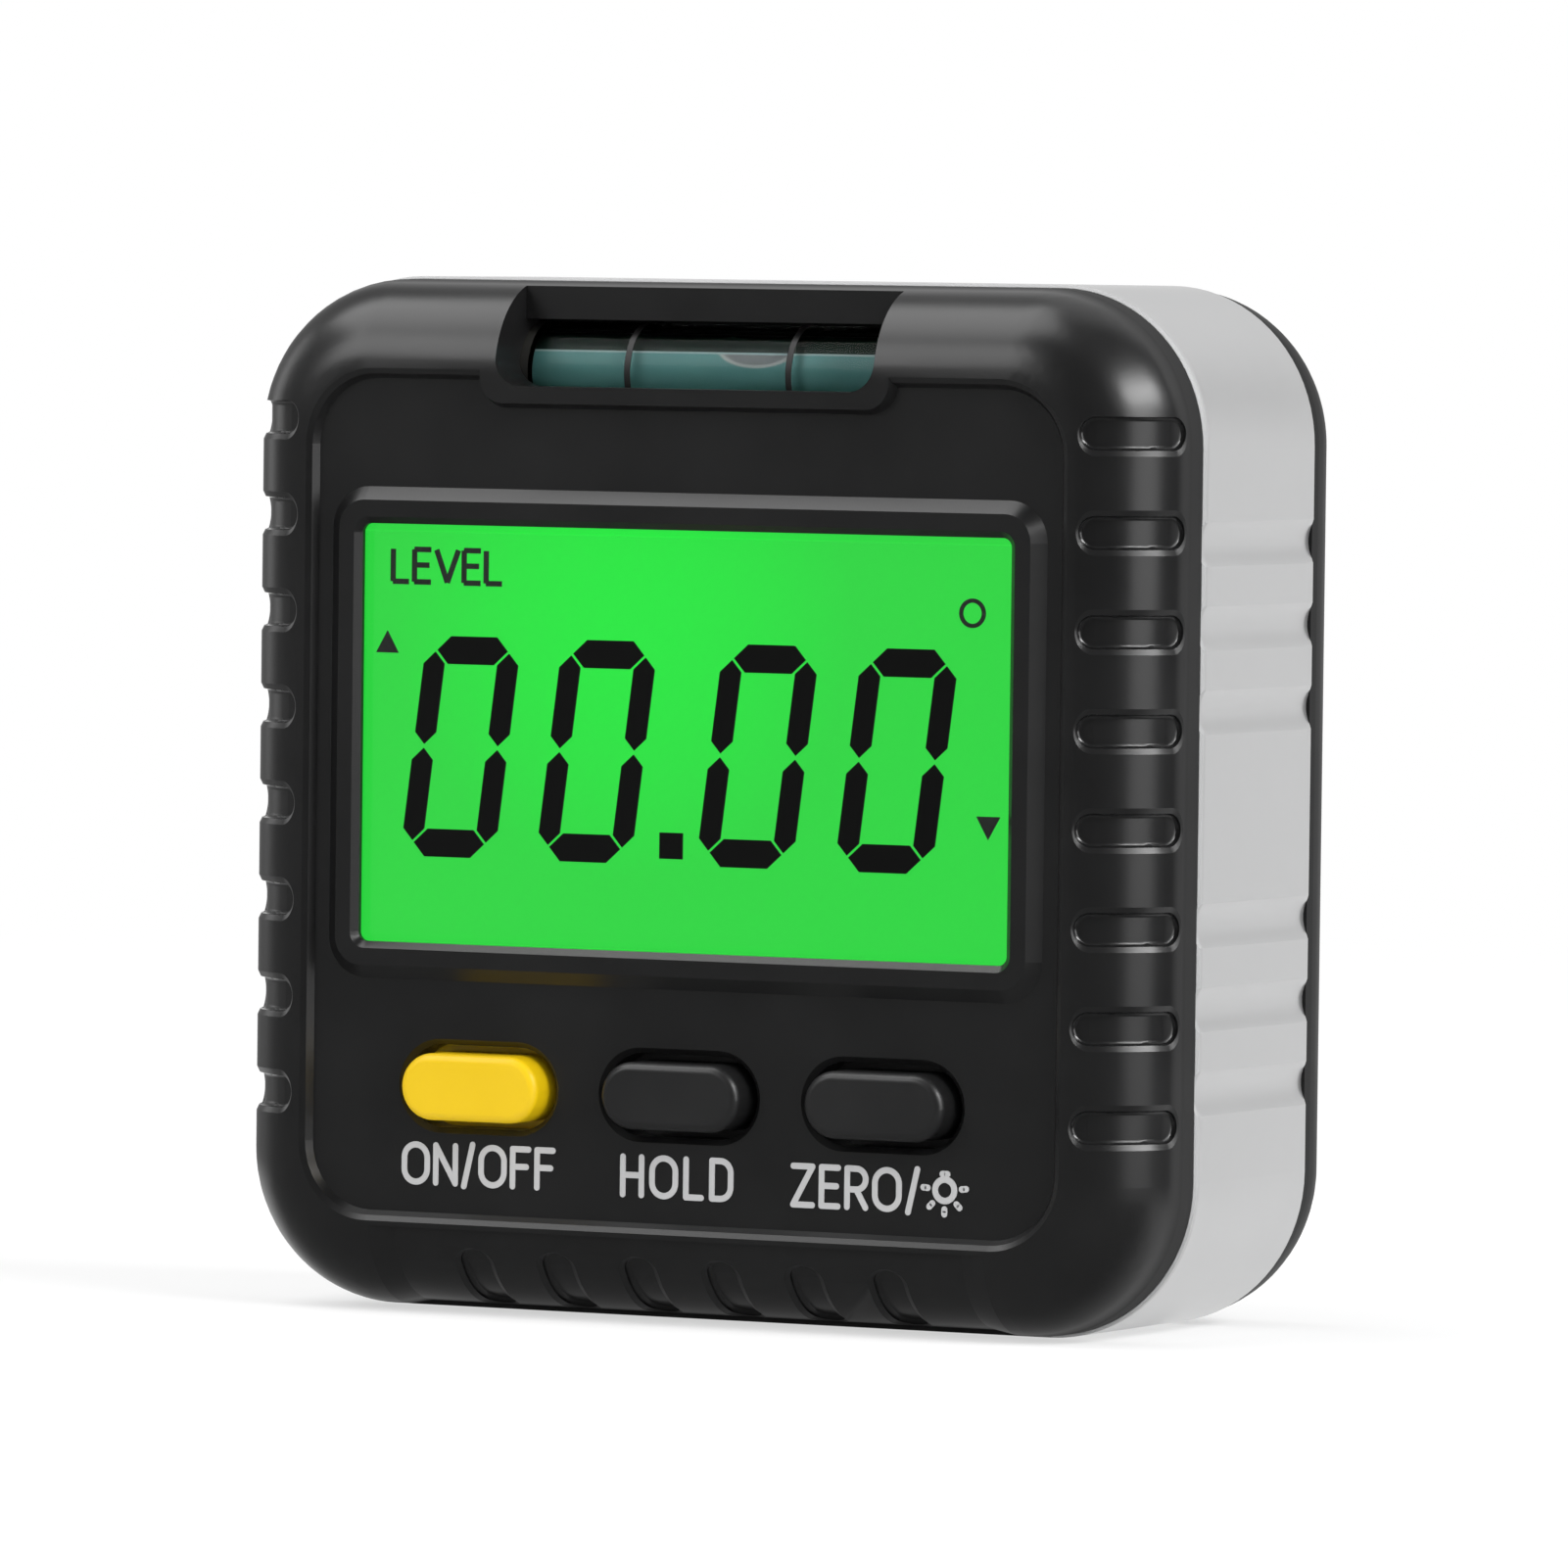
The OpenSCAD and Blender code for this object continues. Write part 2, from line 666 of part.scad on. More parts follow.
module battery_door() {
    thumb_sink = 0.55;
    dish_r = 16;
    rib_d = 0.7;
    rib_pitch = 1.6;
    rib_len = 4.4;
    thumb_rise = 5.8;
    thumb_z = mid_z - door_h / 2 + thumb_rise;
    color("#1f1f21") stand() {
        difference() {
            union() {
                // Plate with a round top edge on the hinge axis
                translate([-door_w / 2, mid_z - door_h / 2, back])
                    cube([door_w, door_h - door_t / 2, door_t]);
                translate([-door_w / 2, hinge_z, hinge_level]) rotate([0, 90, 0])
                    cylinder(d = door_t, h = door_w);
                // Tabs that hook under the cover
                for (s = [-1, 1]) translate([s * tab_x - tab_w / 2, hinge_z - tab_root, 0]) {
                    translate([0, 0, back + door_t - bite])
                        cube([tab_w, tab_root, wall - door_t + seat_gap + tab_t + bite]);
                    translate([0, 0, back_inner + seat_gap])
                        cube([tab_w, tab_root + door_t / 2 + tab_len, tab_t]);
                }
                // Latch tongue at the lower edge
                translate([-tab_w, mid_z - door_h / 2 + latch_inset, back + door_t - bite])
                    cube([2 * tab_w, 1, latch_h + bite]);
            }
            // Thumb dish
            translate([0, thumb_z, back - dish_r + thumb_sink]) sphere(dish_r);
        }
        // Thumb ribs in the dish
        for (i = [-1:1])
            translate([0, thumb_z + i * rib_pitch, back + thumb_sink + 0.1])
                rotate([0, 90, 0]) cylinder(d = rib_d, h = rib_len, center = true);
    }
}

module screen_window() {
    color("#e8f2ee", 0.3) stand()
        translate([-lcd_w / 2, window_z - lcd_h / 2, lcd_front])
            cube([lcd_w, lcd_h, lens_t]);
}

// Two glass plates; the rear one is taller and carries the contacts
module lcd_panel() {
    front_t = lcd_t / 2;
    color("#35e046") stand() {
        translate([-lcd_w / 2, window_z - lcd_h / 2 + lcd_ledge, lcd_back])
            cube([lcd_w, lcd_h - 2 * lcd_ledge, lcd_t - print_t]);
        translate([-lcd_w / 2, window_z - lcd_h / 2, lcd_back])
            cube([lcd_w, lcd_h, lcd_t - front_t]);
    }
}

// Depth of the dark segment layer under the window
print_t = 0.08;
segment_gap = 0.11;
digit_slant = 7.3;
digit_h = window_h * digit_share;
digit_w = window_w * 0.1477;
digit_z = window_z - window_h * 0.03;
// The digits stand in two pairs, a little left of the middle
pair_pitch = window_w * 0.2124;
middle_pitch = window_w * 0.2487;
digits_x = -window_w * 0.0154;

// One segment: a bar with pointed ends along X
module segment(length, thickness) {
    half = length / 2 - segment_gap;
    nib = thickness / 2;
    polygon([[-half, 0], [-half + nib, nib], [half - nib, nib],
             [half, 0], [half - nib, -nib], [-half + nib, -nib]]);
}

// The six outer segments of a seven-segment figure, slanted as on the display
module figure_zero() {
    bar = digit_w - segment_w;
    post = (digit_h - segment_t) / 2;
    multmatrix([[1, tan(digit_slant), 0, 0], [0, 1, 0, 0], [0, 0, 1, 0]]) {
        for (s = [-1, 1]) {
            translate([0, s * post]) segment(bar, segment_t);
            for (t = [-1, 1])
                translate([s * bar / 2, t * post / 2]) rotate(90) segment(post, segment_w);
        }
    }
}

module lcd_digits() {
    dot_w = 1.38;
    dot_x = 0.47;
    dot_rise = 0.33;
    color("#0c0c0c") stand() translate([digits_x, digit_z, lcd_front - print_t]) linear_extrude(print_t) {
        for (s = [-1, 1], x = [middle_pitch / 2, middle_pitch / 2 + pair_pitch])
            translate([s * x, 0]) figure_zero();
        translate([dot_x - digit_h / 2 * tan(digit_slant), dot_rise + (dot_w - digit_h) / 2])
            square(dot_w, center = true);
    }
}

module backlight() {
    color("#f4f4ee") stand()
        translate([-window_w / 2, window_z - window_h / 2 + zebra_w, board_front])
            cube([window_w, window_h - 2 * zebra_w, backlight_t]);
}

// Rubber strips that join the display's contacts to the board
module zebra_strips() {
    color("#3a3a3c") stand() for (s = [-1, 1])
        translate([-window_w / 2, window_z + s * (lcd_h - zebra_w) / 2 - zebra_w / 2, board_front])
            cube([window_w, zebra_w, backlight_t]);
}

module circuit_board() {
    color("#1f6b3a") stand() difference() {
        translate([0, (board_low + board_high) / 2, board_back])
            linear_extrude(board_t) plate2d(board_w, board_high - board_low, 1);
        at_board_screws() translate([0, 0, board_back - past])
            cylinder(d = board_screw_d + 0.3, h = board_t + 2 * past);
    }
}

module controller_chip() {
    color("#202022") stand() translate([-chip_x - chip_w / 2, mid_z - chip_w / 2, board_back - chip_t])
        cube([chip_w, chip_w, chip_t]);
}

module tilt_sensor() {
    color("#2a2a2c") stand() translate([chip_x - sensor_w / 2, mid_z - sensor_w / 2, board_back - sensor_t])
        cube([sensor_w, sensor_w, sensor_t]);
}

// Low switches on the board, one under each button
module switch_bodies() {
    color("#b9bbbd") stand() at_buttons() translate([0, 0, board_front]) difference() {
        translate([-switch_w / 2, -switch_w / 2, 0]) cube([switch_w, switch_w, switch_h]);
        translate([0, 0, bite]) cylinder(d = plunger_d + 2 * slide_gap, h = switch_h);
    }
}

// The switch's plunger, clear of the switch's floor by more than its travel
module plunger(place) {
    foot = board_front + bite + button_travel + seat_gap;
    color("#2b2b2d") stand() translate([place * button_pitch, button_z, foot])
        cylinder(d = plunger_d, h = plunger_top - foot);
}

// A cap with a rounded edge, a flange behind the panel and a stem on the switch
module button(place, paint) {
    cap_edge_r = 0.45;
    cap_r = button_h / 2 - 0.001;
    flange_back = panel_back - slide_gap - flange_t;
    color(paint) stand() translate([place * button_pitch, button_z, 0]) {
        translate([0, 0, flange_back])
            edged_block(button_w, button_h, cap_r, panel + button_raise - flange_back)
                round_edge(cap_r, cap_edge_r, panel + button_raise - flange_back);
        translate([0, 0, flange_back])
            stadium(button_w + 2 * button_gap + 2 * flange_rim, button_h + 2 * button_gap + flange_rim,
                    flange_t);
        translate([0, 0, plunger_top]) cylinder(d = plunger_d + 0.6, h = flange_back - plunger_top + bite);
    }
}

module power_button() {
    button(-1, "#f2c91c");
}

module hold_button() {
    button(0, "#232325");
}

module zero_button() {
    button(1, "#232325");
}

module power_plunger() {
    plunger(-1);
}

module hold_plunger() {
    plunger(0);
}

module zero_plunger() {
    plunger(1);
}

// Turns a form along Z into one along the vial's axis
module along_vial() {
    stand() translate([0, vial_z, vial_level]) rotate([0, 90, 0]) children();
}

module vial_tube() {
    color("#cfe9e4", 0.35) along_vial() difference() {
        cylinder(d = vial_d, h = vial_len - 2 * plug_len, center = true);
        cylinder(r = vial_bore_r, h = vial_len, center = true);
    }
}

// Green spirit with a hollow on top where the bubble lies against the tube
module vial_fluid() {
    bubble_x = 2.6;
    color("#2fa58f", 0.6) difference() {
        along_vial() cylinder(r = vial_bore_r - 0.02, h = vial_len - 2 * plug_len, center = true);
        stand() translate([bubble_x, vial_z + vial_bore_r - bubble_r + 0.15, vial_level])
            rotate([0, 90, 0]) {
                cylinder(r = bubble_r, h = bubble_len - 2 * bubble_r, center = true);
                for (s = [-1, 1]) translate([0, 0, s * (bubble_len / 2 - bubble_r)]) sphere(bubble_r);
            }
    }
}

// Two printed lines round the tube
module vial_lines() {
    line_w = 0.35;
    line_t = 0.04;
    color("#161616") along_vial() for (s = [-1, 1])
        translate([0, 0, s * vial_line_gap / 2]) difference() {
            cylinder(r = vial_r + line_t, h = line_w, center = true);
            cylinder(r = vial_r, h = 2 * line_w, center = true);
        }
}

module vial_plugs() {
    color("#141414") along_vial() for (s = [-1, 1])
        translate([0, 0, s * (vial_len - plug_len) / 2]) cylinder(d = vial_d, h = plug_len, center = true);
}

// A battery cell along X with its nub at the +X end
module cell() {
    body_len = cell_len - nub_h;
    shoulder = 0.6;
    rotate([0, 90, 0]) rotate_extrude() polygon([
        [0, 0], [cell_d / 2 - shoulder, 0], [cell_d / 2, shoulder],
        [cell_d / 2, body_len - shoulder], [cell_d / 2 - shoulder, body_len],
        [nub_d / 2, body_len], [nub_d / 2, cell_len], [0, cell_len]
    ]);
}

contact_face = bay_w / 2 - contact_t;

module upper_cell() {
    color("#2d5f9e") stand() translate([contact_face - cell_len, mid_z + cell_offset, cell_level]) cell();
}

module lower_cell() {
    color("#2d5f9e") stand() translate([cell_len - contact_face, mid_z - cell_offset, cell_level])
        mirror([1, 0, 0]) cell();
}

// Spring-steel plate at the left that joins the two cells
module bridge_contact() {
    color("#c8c4b4") stand()
        translate([-bay_w / 2, mid_z - cell_offset - contact_w / 2, cell_level - contact_w / 2])
            cube([contact_t, 2 * cell_offset + contact_w, contact_w]);
}

// Plate at the right with a tail that is soldered to the board
tail_w = 2.4;
module tail_contact(side) {
    color("#c8c4b4") stand() translate([0, mid_z + side * cell_offset, 0]) {
        translate([contact_face, -contact_w / 2, cell_level - contact_w / 2])
            cube([contact_t, contact_w, contact_w]);
        translate([contact_face, -tail_w / 2, cell_level])
            cube([contact_t, tail_w, board_back - cell_level]);
        translate([board_w / 2 - tail_w, -tail_w / 2, board_back - contact_t])
            cube([contact_face + contact_t - board_w / 2 + tail_w, tail_w, contact_t]);
    }
}

module positive_contact() {
    tail_contact(1);
}

module negative_contact() {
    tail_contact(-1);
}

// A tapering coil, swept as rings of points along a helix about X
spring_turns = 3;
spring_rings = 54;
spring_sides = 8;
spring_wide = 3.3;
spring_narrow = 1.7;

function coil_angle(i) = 360 * spring_turns * i / spring_rings;
function coil_radius(i) = spring_wide + (spring_narrow - spring_wide) * i / spring_rings;
function coil_advance(i) = spring_wire / 2 + (spring_len - spring_wire) * i / spring_rings;
function coil_point(i, k) =
    let (a = coil_angle(i), b = 360 * k / spring_sides, r = coil_radius(i) + spring_wire / 2 * cos(b))
    [coil_advance(i) + spring_wire / 2 * sin(b), r * cos(a), r * sin(a)];

module coil() {
    points = [for (i = [0:spring_rings], k = [0:spring_sides - 1]) coil_point(i, k)];
    sides = [for (i = [0:spring_rings - 1], k = [0:spring_sides - 1])
        let (n = (k + 1) % spring_sides)
        [i * spring_sides + k, i * spring_sides + n, (i + 1) * spring_sides + n, (i + 1) * spring_sides + k]];
    start = [for (k = [spring_sides - 1:-1:0]) k];
    end = [for (k = [0:spring_sides - 1]) spring_rings * spring_sides + k];
    polyhedron(points, concat(sides, [start, end]));
}

module contact_springs() {
    color("#d2d0c6") stand() {
        translate([-contact_face, mid_z + cell_offset, cell_level]) coil();
        translate([contact_face, mid_z - cell_offset, cell_level]) mirror([1, 0, 0]) coil();
    }
}

// A pan-head screw along the view axis, driven from the back, with a cross recess
module screw(d, head_d, head_h, reach) {
    slot_w = head_d / 5;
    difference() {
        union() {
            translate([0, 0, -head_h]) cylinder(d = head_d, h = head_h);
            cylinder(d = d, h = reach);
        }
        for (a = [0, 90]) rotate(a)
            translate([-head_d / 3, -slot_w / 2, -head_h - past])
                cube([2 * head_d / 3, slot_w, past + head_h / 2]);
    }
}

module case_screws() {
    seat = back + screw_sink;
    color("#6f7275") stand() at_case_screws() translate([0, 0, seat])
        screw(screw_d, screw_head_d, screw_head_h, boss_split + screw_reach - seat);
}

module board_screws() {
    color("#8a8d90") stand() at_board_screws() translate([0, 0, board_back])
        screw(board_screw_d, board_post_d - bite, board_head_h, board_t + board_screw_reach);
}

front_shell();
side_frame();
rear_cover();
battery_door();
screen_window();
lcd_panel();
lcd_digits();
backlight();
zebra_strips();
circuit_board();
controller_chip();
tilt_sensor();
switch_bodies();
power_button();
hold_button();
zero_button();
power_plunger();
hold_plunger();
zero_plunger();
vial_tube();
vial_fluid();
vial_lines();
vial_plugs();
base_magnets();
upper_cell();
lower_cell();
bridge_contact();
positive_contact();
negative_contact();
contact_springs();
case_screws();
board_screws();
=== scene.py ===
"""Looks of the digital angle gauge: finishes for its solids, the marks on its panel and display,
and a plain studio."""

import math

import bmesh
import bpy
from mathutils import Matrix, Vector


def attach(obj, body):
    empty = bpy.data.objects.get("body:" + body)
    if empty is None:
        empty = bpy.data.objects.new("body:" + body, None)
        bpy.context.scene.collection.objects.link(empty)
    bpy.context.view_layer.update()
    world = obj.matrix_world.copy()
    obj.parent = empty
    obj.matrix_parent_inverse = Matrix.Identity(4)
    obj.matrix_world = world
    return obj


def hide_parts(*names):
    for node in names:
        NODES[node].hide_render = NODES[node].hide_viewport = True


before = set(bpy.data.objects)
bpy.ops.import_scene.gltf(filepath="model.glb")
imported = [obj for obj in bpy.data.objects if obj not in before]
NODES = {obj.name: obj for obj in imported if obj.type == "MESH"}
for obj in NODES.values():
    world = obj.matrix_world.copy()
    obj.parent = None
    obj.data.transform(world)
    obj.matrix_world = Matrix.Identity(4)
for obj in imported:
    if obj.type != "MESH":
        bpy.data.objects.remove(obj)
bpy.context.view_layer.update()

MM = 0.001


# Camera, as fitted to the photograph

# Turn to the right, tilt up and roll, in degrees
CAMERA_ANGLES = (27.702, 2.342, 0.706)
# Millimetres
CAMERA_TARGET = (0.0, 1.15, 27.5)
CAMERA_DISTANCE = 744.379
CAMERA_LENS = 320.425
SENSOR_WIDTH = 36.0
# Shares of the picture's width, right and up
CAMERA_SHIFT = (-0.01109, 0.00826)
# Metres
CAMERA_CLIP = (0.01, 50.0)


def make_camera():
    """Stands the camera where the photograph was taken from."""
    turn, tilt, roll = (math.radians(angle) for angle in CAMERA_ANGLES)
    back = Vector((math.sin(turn) * math.cos(tilt), -math.cos(turn) * math.cos(tilt),
                   math.sin(tilt)))
    right = Vector((math.cos(turn), math.sin(turn), 0.0))
    up = back.cross(right)
    side = right * math.cos(roll) + up * math.sin(roll)
    head = up * math.cos(roll) - right * math.sin(roll)
    data = bpy.data.cameras.new("camera")
    data.sensor_fit = "HORIZONTAL"
    data.sensor_width = SENSOR_WIDTH
    data.lens = CAMERA_LENS
    data.shift_x, data.shift_y = CAMERA_SHIFT
    data.clip_start, data.clip_end = CAMERA_CLIP
    camera = bpy.data.objects.new("camera", data)
    stand = Vector(CAMERA_TARGET) * MM + back * (CAMERA_DISTANCE * MM)
    facing = Matrix((side, head, back)).transposed().to_4x4()
    camera.matrix_world = Matrix.Translation(stand) @ facing
    bpy.context.scene.collection.objects.link(camera)
    bpy.context.scene.camera = camera


make_camera()


# Nodes

# The colour sockets of a Mix node, which share their names with its other sockets
MIX_FIRST, MIX_SECOND, MIX_RESULT = 6, 7, 2


def feed(tree, socket, value):
    """Sets a socket to a plain value, or links it to another node's output."""
    if isinstance(value, bpy.types.NodeSocket):
        tree.links.new(value, socket)
    else:
        socket.default_value = value


def add(tree, kind, **values):
    """A node of that kind, with named properties set and named sockets fed."""
    made = tree.nodes.new(kind)
    for label, value in values.items():
        if hasattr(made, label):
            setattr(made, label, value)
        else:
            feed(tree, made.inputs[label.replace("_", " ").title()], value)
    return made


def object_place(tree):
    """The place on the piece, in metres."""
    return add(tree, "ShaderNodeTexCoord").outputs["Object"]


def split(tree, vector):
    """The X, Y and Z of a vector."""
    return add(tree, "ShaderNodeSeparateXYZ", vector=vector).outputs


def length_of(tree, vector):
    """The length of a vector."""
    return add(tree, "ShaderNodeVectorMath", operation="LENGTH", vector=vector).outputs["Value"]


def reckon(tree, operation, *terms, clamp=False):
    """Works out a value from sockets and plain numbers."""
    made = add(tree, "ShaderNodeMath", operation=operation, use_clamp=clamp)
    for socket, term in zip(made.inputs, terms):
        feed(tree, socket, term)
    return made.outputs["Value"]


def ramp_between(tree, source, low, high, low_value, high_value):
    """Maps a value's range to another, clamped."""
    return add(tree, "ShaderNodeMapRange", clamp=True, value=source, from_min=low, from_max=high,
               to_min=low_value, to_max=high_value).outputs["Result"]


def mask_over(tree, source, start, full):
    """A mask: 0 up to where a value starts, 1 from where it is full."""
    return ramp_between(tree, source, start, full, 0.0, 1.0)


def choose(tree, mask, off, on):
    """One value where a mask is 0 and another where it is 1."""
    return ramp_between(tree, mask, 0.0, 1.0, off, on)


def blend_colours(tree, mask, off, on):
    """One colour where a mask is 0 and another where it is 1."""
    made = add(tree, "ShaderNodeMix", data_type="RGBA", factor=mask)
    feed(tree, made.inputs[MIX_FIRST], off)
    feed(tree, made.inputs[MIX_SECOND], on)
    return made.outputs[MIX_RESULT]


def noise(tree, place, scale, detail):
    """A cloudy pattern from 0 to 1."""
    return add(tree, "ShaderNodeTexNoise", vector=place, scale=scale, detail=detail).outputs["Fac"]


# Shader groups

FLOAT, COLOUR, VECTOR = "NodeSocketFloat", "NodeSocketColor", "NodeSocketVector"
SKIN_OUTPUTS = [("Colour", COLOUR), ("Roughness", FLOAT), ("Height", FLOAT)]
# The part of a cloudy pattern over which the gloss changes
GLOSS_SPAN = (0.3, 0.7)
MOTTLE_SPAN = (0.35, 0.7)
LINE_SPAN = (0.35, 0.65)
# Scale and detail of the patterns
PIP_DETAIL = 3.0
LINE_SCALE, LINE_DETAIL = 1.0, 4.0
MOTTLE_SCALE, MOTTLE_DETAIL = 160.0, 5.0
STAIN_SCALE, STAIN_DETAIL = 120.0, 4.0

# The studio in a gloss. The white behind the gauge begins over these turns from straight aside,
# and close to the gauge its edge is softened over this width, in metres.
WHITE_TURNS = (math.radians(46), math.radians(58))
WHITE_SOFT = 0.002
# The levels at the left and right: beside the gauge, and far in front of it; and near its front
BESIDE_SPAN, BESIDE_LEVELS = (-0.3, 0.3), (0.3, 0.1)
FAR_SPAN, FAR_LEVELS = (-0.5, -0.1), (0.2, 0.05)
NEAR_SPAN, NEAR_LEVEL = (0.06, 0.25), 0.22
FRONT_SPAN = (-0.6, 0.0)


def new_group(name, inputs, outputs):
    """An empty shader group: inputs are (name, kind, value), outputs are (name, kind)."""
    group = bpy.data.node_groups.new(name, "ShaderNodeTree")
    for label, kind, value in inputs:
        socket = group.interface.new_socket(label, in_out="INPUT", socket_type=kind)
        socket.default_value = value
    for label, kind in outputs:
        group.interface.new_socket(label, in_out="OUTPUT", socket_type=kind)
    enter = group.nodes.new("NodeGroupInput").outputs
    leave = group.nodes.new("NodeGroupOutput").inputs
    return group, enter, leave


def moulded_skin_group():
    """Spark-textured skin: fine pips, slow mottling of tone and gloss."""
    group, enter, leave = new_group(
        "moulded_skin",
        [("Tone", COLOUR, (0.02, 0.02, 0.02, 1)), ("Mottle", COLOUR, (0.03, 0.03, 0.03, 1)),
         ("Pip Scale", FLOAT, 9000.0), ("Gloss Low", FLOAT, 0.36), ("Gloss High", FLOAT, 0.48)],
        SKIN_OUTPUTS)
    link = group.links.new
    place = object_place(group)
    pips = noise(group, place, enter["Pip Scale"], PIP_DETAIL)
    cloud = noise(group, place, MOTTLE_SCALE, MOTTLE_DETAIL)
    mottled = mask_over(group, cloud, *MOTTLE_SPAN)
    link(blend_colours(group, mottled, enter["Tone"], enter["Mottle"]), leave["Colour"])
    link(ramp_between(group, cloud, *GLOSS_SPAN, enter["Gloss Low"], enter["Gloss High"]),
         leave["Roughness"])
    link(pips, leave["Height"])
    return group


def drawn_metal_group():
    """Metal with faint lines along one direction, set by the stretch of the pattern."""
    group, enter, leave = new_group(
        "drawn_metal",
        [("Tone", COLOUR, (0.6, 0.6, 0.6, 1)), ("Line Tone", COLOUR, (0.5, 0.5, 0.5, 1)),
         ("Across", FLOAT, 6000.0), ("Along", FLOAT, 60.0),
         ("Gloss Low", FLOAT, 0.28), ("Gloss High", FLOAT, 0.4)],
        SKIN_OUTPUTS)
    link = group.links.new
    place = object_place(group)
    stretch = add(group, "ShaderNodeCombineXYZ", x=enter["Across"], y=enter["Along"],
                  z=enter["Across"])
    scaled = add(group, "ShaderNodeVectorMath", operation="MULTIPLY")
    link(place, scaled.inputs[0])
    link(stretch.outputs["Vector"], scaled.inputs[1])
    lines = noise(group, scaled.outputs["Vector"], LINE_SCALE, LINE_DETAIL)
    cloud = noise(group, place, STAIN_SCALE, STAIN_DETAIL)
    lined = mask_over(group, lines, *LINE_SPAN)
    link(blend_colours(group, lined, enter["Tone"], enter["Line Tone"]), leave["Colour"])
    link(ramp_between(group, cloud, *GLOSS_SPAN, enter["Gloss Low"], enter["Gloss High"]),
         leave["Roughness"])
    link(lines, leave["Height"])
    return group


def room_light_group():
    """The studio as a gloss or glass shows it: white behind the gauge, grey at its sides, darker
    in front."""
    group, enter, leave = new_group(
        "room_light",
        [("Place", VECTOR, (0, 0, 0)), ("Half Width", FLOAT, 0.0), ("Behind", FLOAT, 1.0)],
        [("Strength", FLOAT)])
    place = split(group, enter["Place"])
    past = reckon(group, "SUBTRACT", reckon(group, "ABSOLUTE", place["X"]), enter["Half Width"])
    turn = reckon(group, "ARCTAN2", place["Y"], reckon(group, "MAXIMUM", past, WHITE_SOFT))
    heading = add(group, "ShaderNodeVectorMath", operation="NORMALIZE", vector=enter["Place"])
    way = split(group, heading.outputs["Vector"])
    reach = length_of(group, enter["Place"])
    far = ramp_between(group, way["X"], *FAR_SPAN, *FAR_LEVELS)
    front = ramp_between(group, reach, *NEAR_SPAN, NEAR_LEVEL, far)
    beside = ramp_between(group, way["X"], *BESIDE_SPAN, *BESIDE_LEVELS)
    sides = ramp_between(group, way["Y"], *FRONT_SPAN, front, beside)
    group.links.new(ramp_between(group, turn, *WHITE_TURNS, sides, enter["Behind"]),
                    leave["Strength"])
    return group


MOULDED_SKIN = moulded_skin_group()
DRAWN_METAL = drawn_metal_group()
ROOM_LIGHT = room_light_group()


# Materials

# Height of the pips and lines, in metres, and how strongly they show
RELIEF_HEIGHT = 0.00002
SKIN_BUMP = 0.35
METAL_BUMP = 0.2
# Pips or lines in a metre, about
FINE_PIPS, COARSE_PIPS = 9000.0, 2500.0
LINES_ACROSS, LINES_ALONG, LINES_EVEN = 6000.0, 60.0, 5000.0


def new_material(name, **sockets):
    """A material with its Principled shader; keyword values go on the shader's own sockets."""
    material = bpy.data.materials.new(name)
    material.use_nodes = True
    tree = material.node_tree
    shader = tree.nodes["Principled BSDF"].inputs
    for label, value in sockets.items():
        shader[label.replace("_", " ")].default_value = value
    return material, tree, shader


def with_group(name, group, bump, values, **sockets):
    """A material whose colour, gloss and relief come from a shader group."""
    material, tree, shader = new_material(name, **sockets)
    skin = add(tree, "ShaderNodeGroup", node_tree=group)
    for label, value in values.items():
        skin.inputs[label].default_value = value
    relief = add(tree, "ShaderNodeBump", strength=bump, distance=RELIEF_HEIGHT)
    tree.links.new(skin.outputs["Height"], relief.inputs["Height"])
    tree.links.new(skin.outputs["Colour"], shader["Base Color"])
    tree.links.new(skin.outputs["Roughness"], shader["Roughness"])
    tree.links.new(relief.outputs["Normal"], shader["Normal"])
    return material


def pipped(name, tone, mottle, gloss, bump=SKIN_BUMP, pips=FINE_PIPS, **sockets):
    """A skin of fine pips in two close tones: moulded plastic, ink or blasted metal."""
    return with_group(name, MOULDED_SKIN, bump,
                      {"Tone": (*tone, 1), "Mottle": (*mottle, 1), "Pip Scale": pips,
                       "Gloss Low": gloss[0], "Gloss High": gloss[1]}, **sockets)


def drawn(name, tone, line_tone, gloss, along=LINES_ALONG):
    """Drawn, rolled or plated metal."""
    return with_group(name, DRAWN_METAL, METAL_BUMP,
                      {"Tone": (*tone, 1), "Line Tone": (*line_tone, 1),
                       "Across": LINES_ACROSS, "Along": along,
                       "Gloss Low": gloss[0], "Gloss High": gloss[1]}, Metallic=1.0)


SMEAR_SCALE, SMEAR_DETAIL, SMEAR_SPAN = 220.0, 3.0, (0.35, 0.7)
SMEAR_DULLING = 0.03


def clear_plastic(name, tint, roughness, ior, sheen):
    """Clear window or tube: plain transmission with faint smears in its gloss."""
    material, tree, shader = new_material(name, Base_Color=(*tint, 1), Transmission_Weight=1.0,
                                          IOR=ior, Metallic=0.0, Specular_IOR_Level=sheen)
    smear = noise(tree, object_place(tree), SMEAR_SCALE, SMEAR_DETAIL)
    tree.links.new(ramp_between(tree, smear, *SMEAR_SPAN, roughness, roughness + SMEAR_DULLING),
                   shader["Roughness"])
    return material


# From the display's middle to the origin, and how far from there its light falls, in metres
DISPLAY_OFFSET = (0.004, 0.0, -0.0373)
DISPLAY_FALL = (0.0115, 0.018)
GLOW_MIDDLE, GLOW_EDGE = (0.014, 0.845, 0.05, 1), (0.023, 0.7, 0.052, 1)


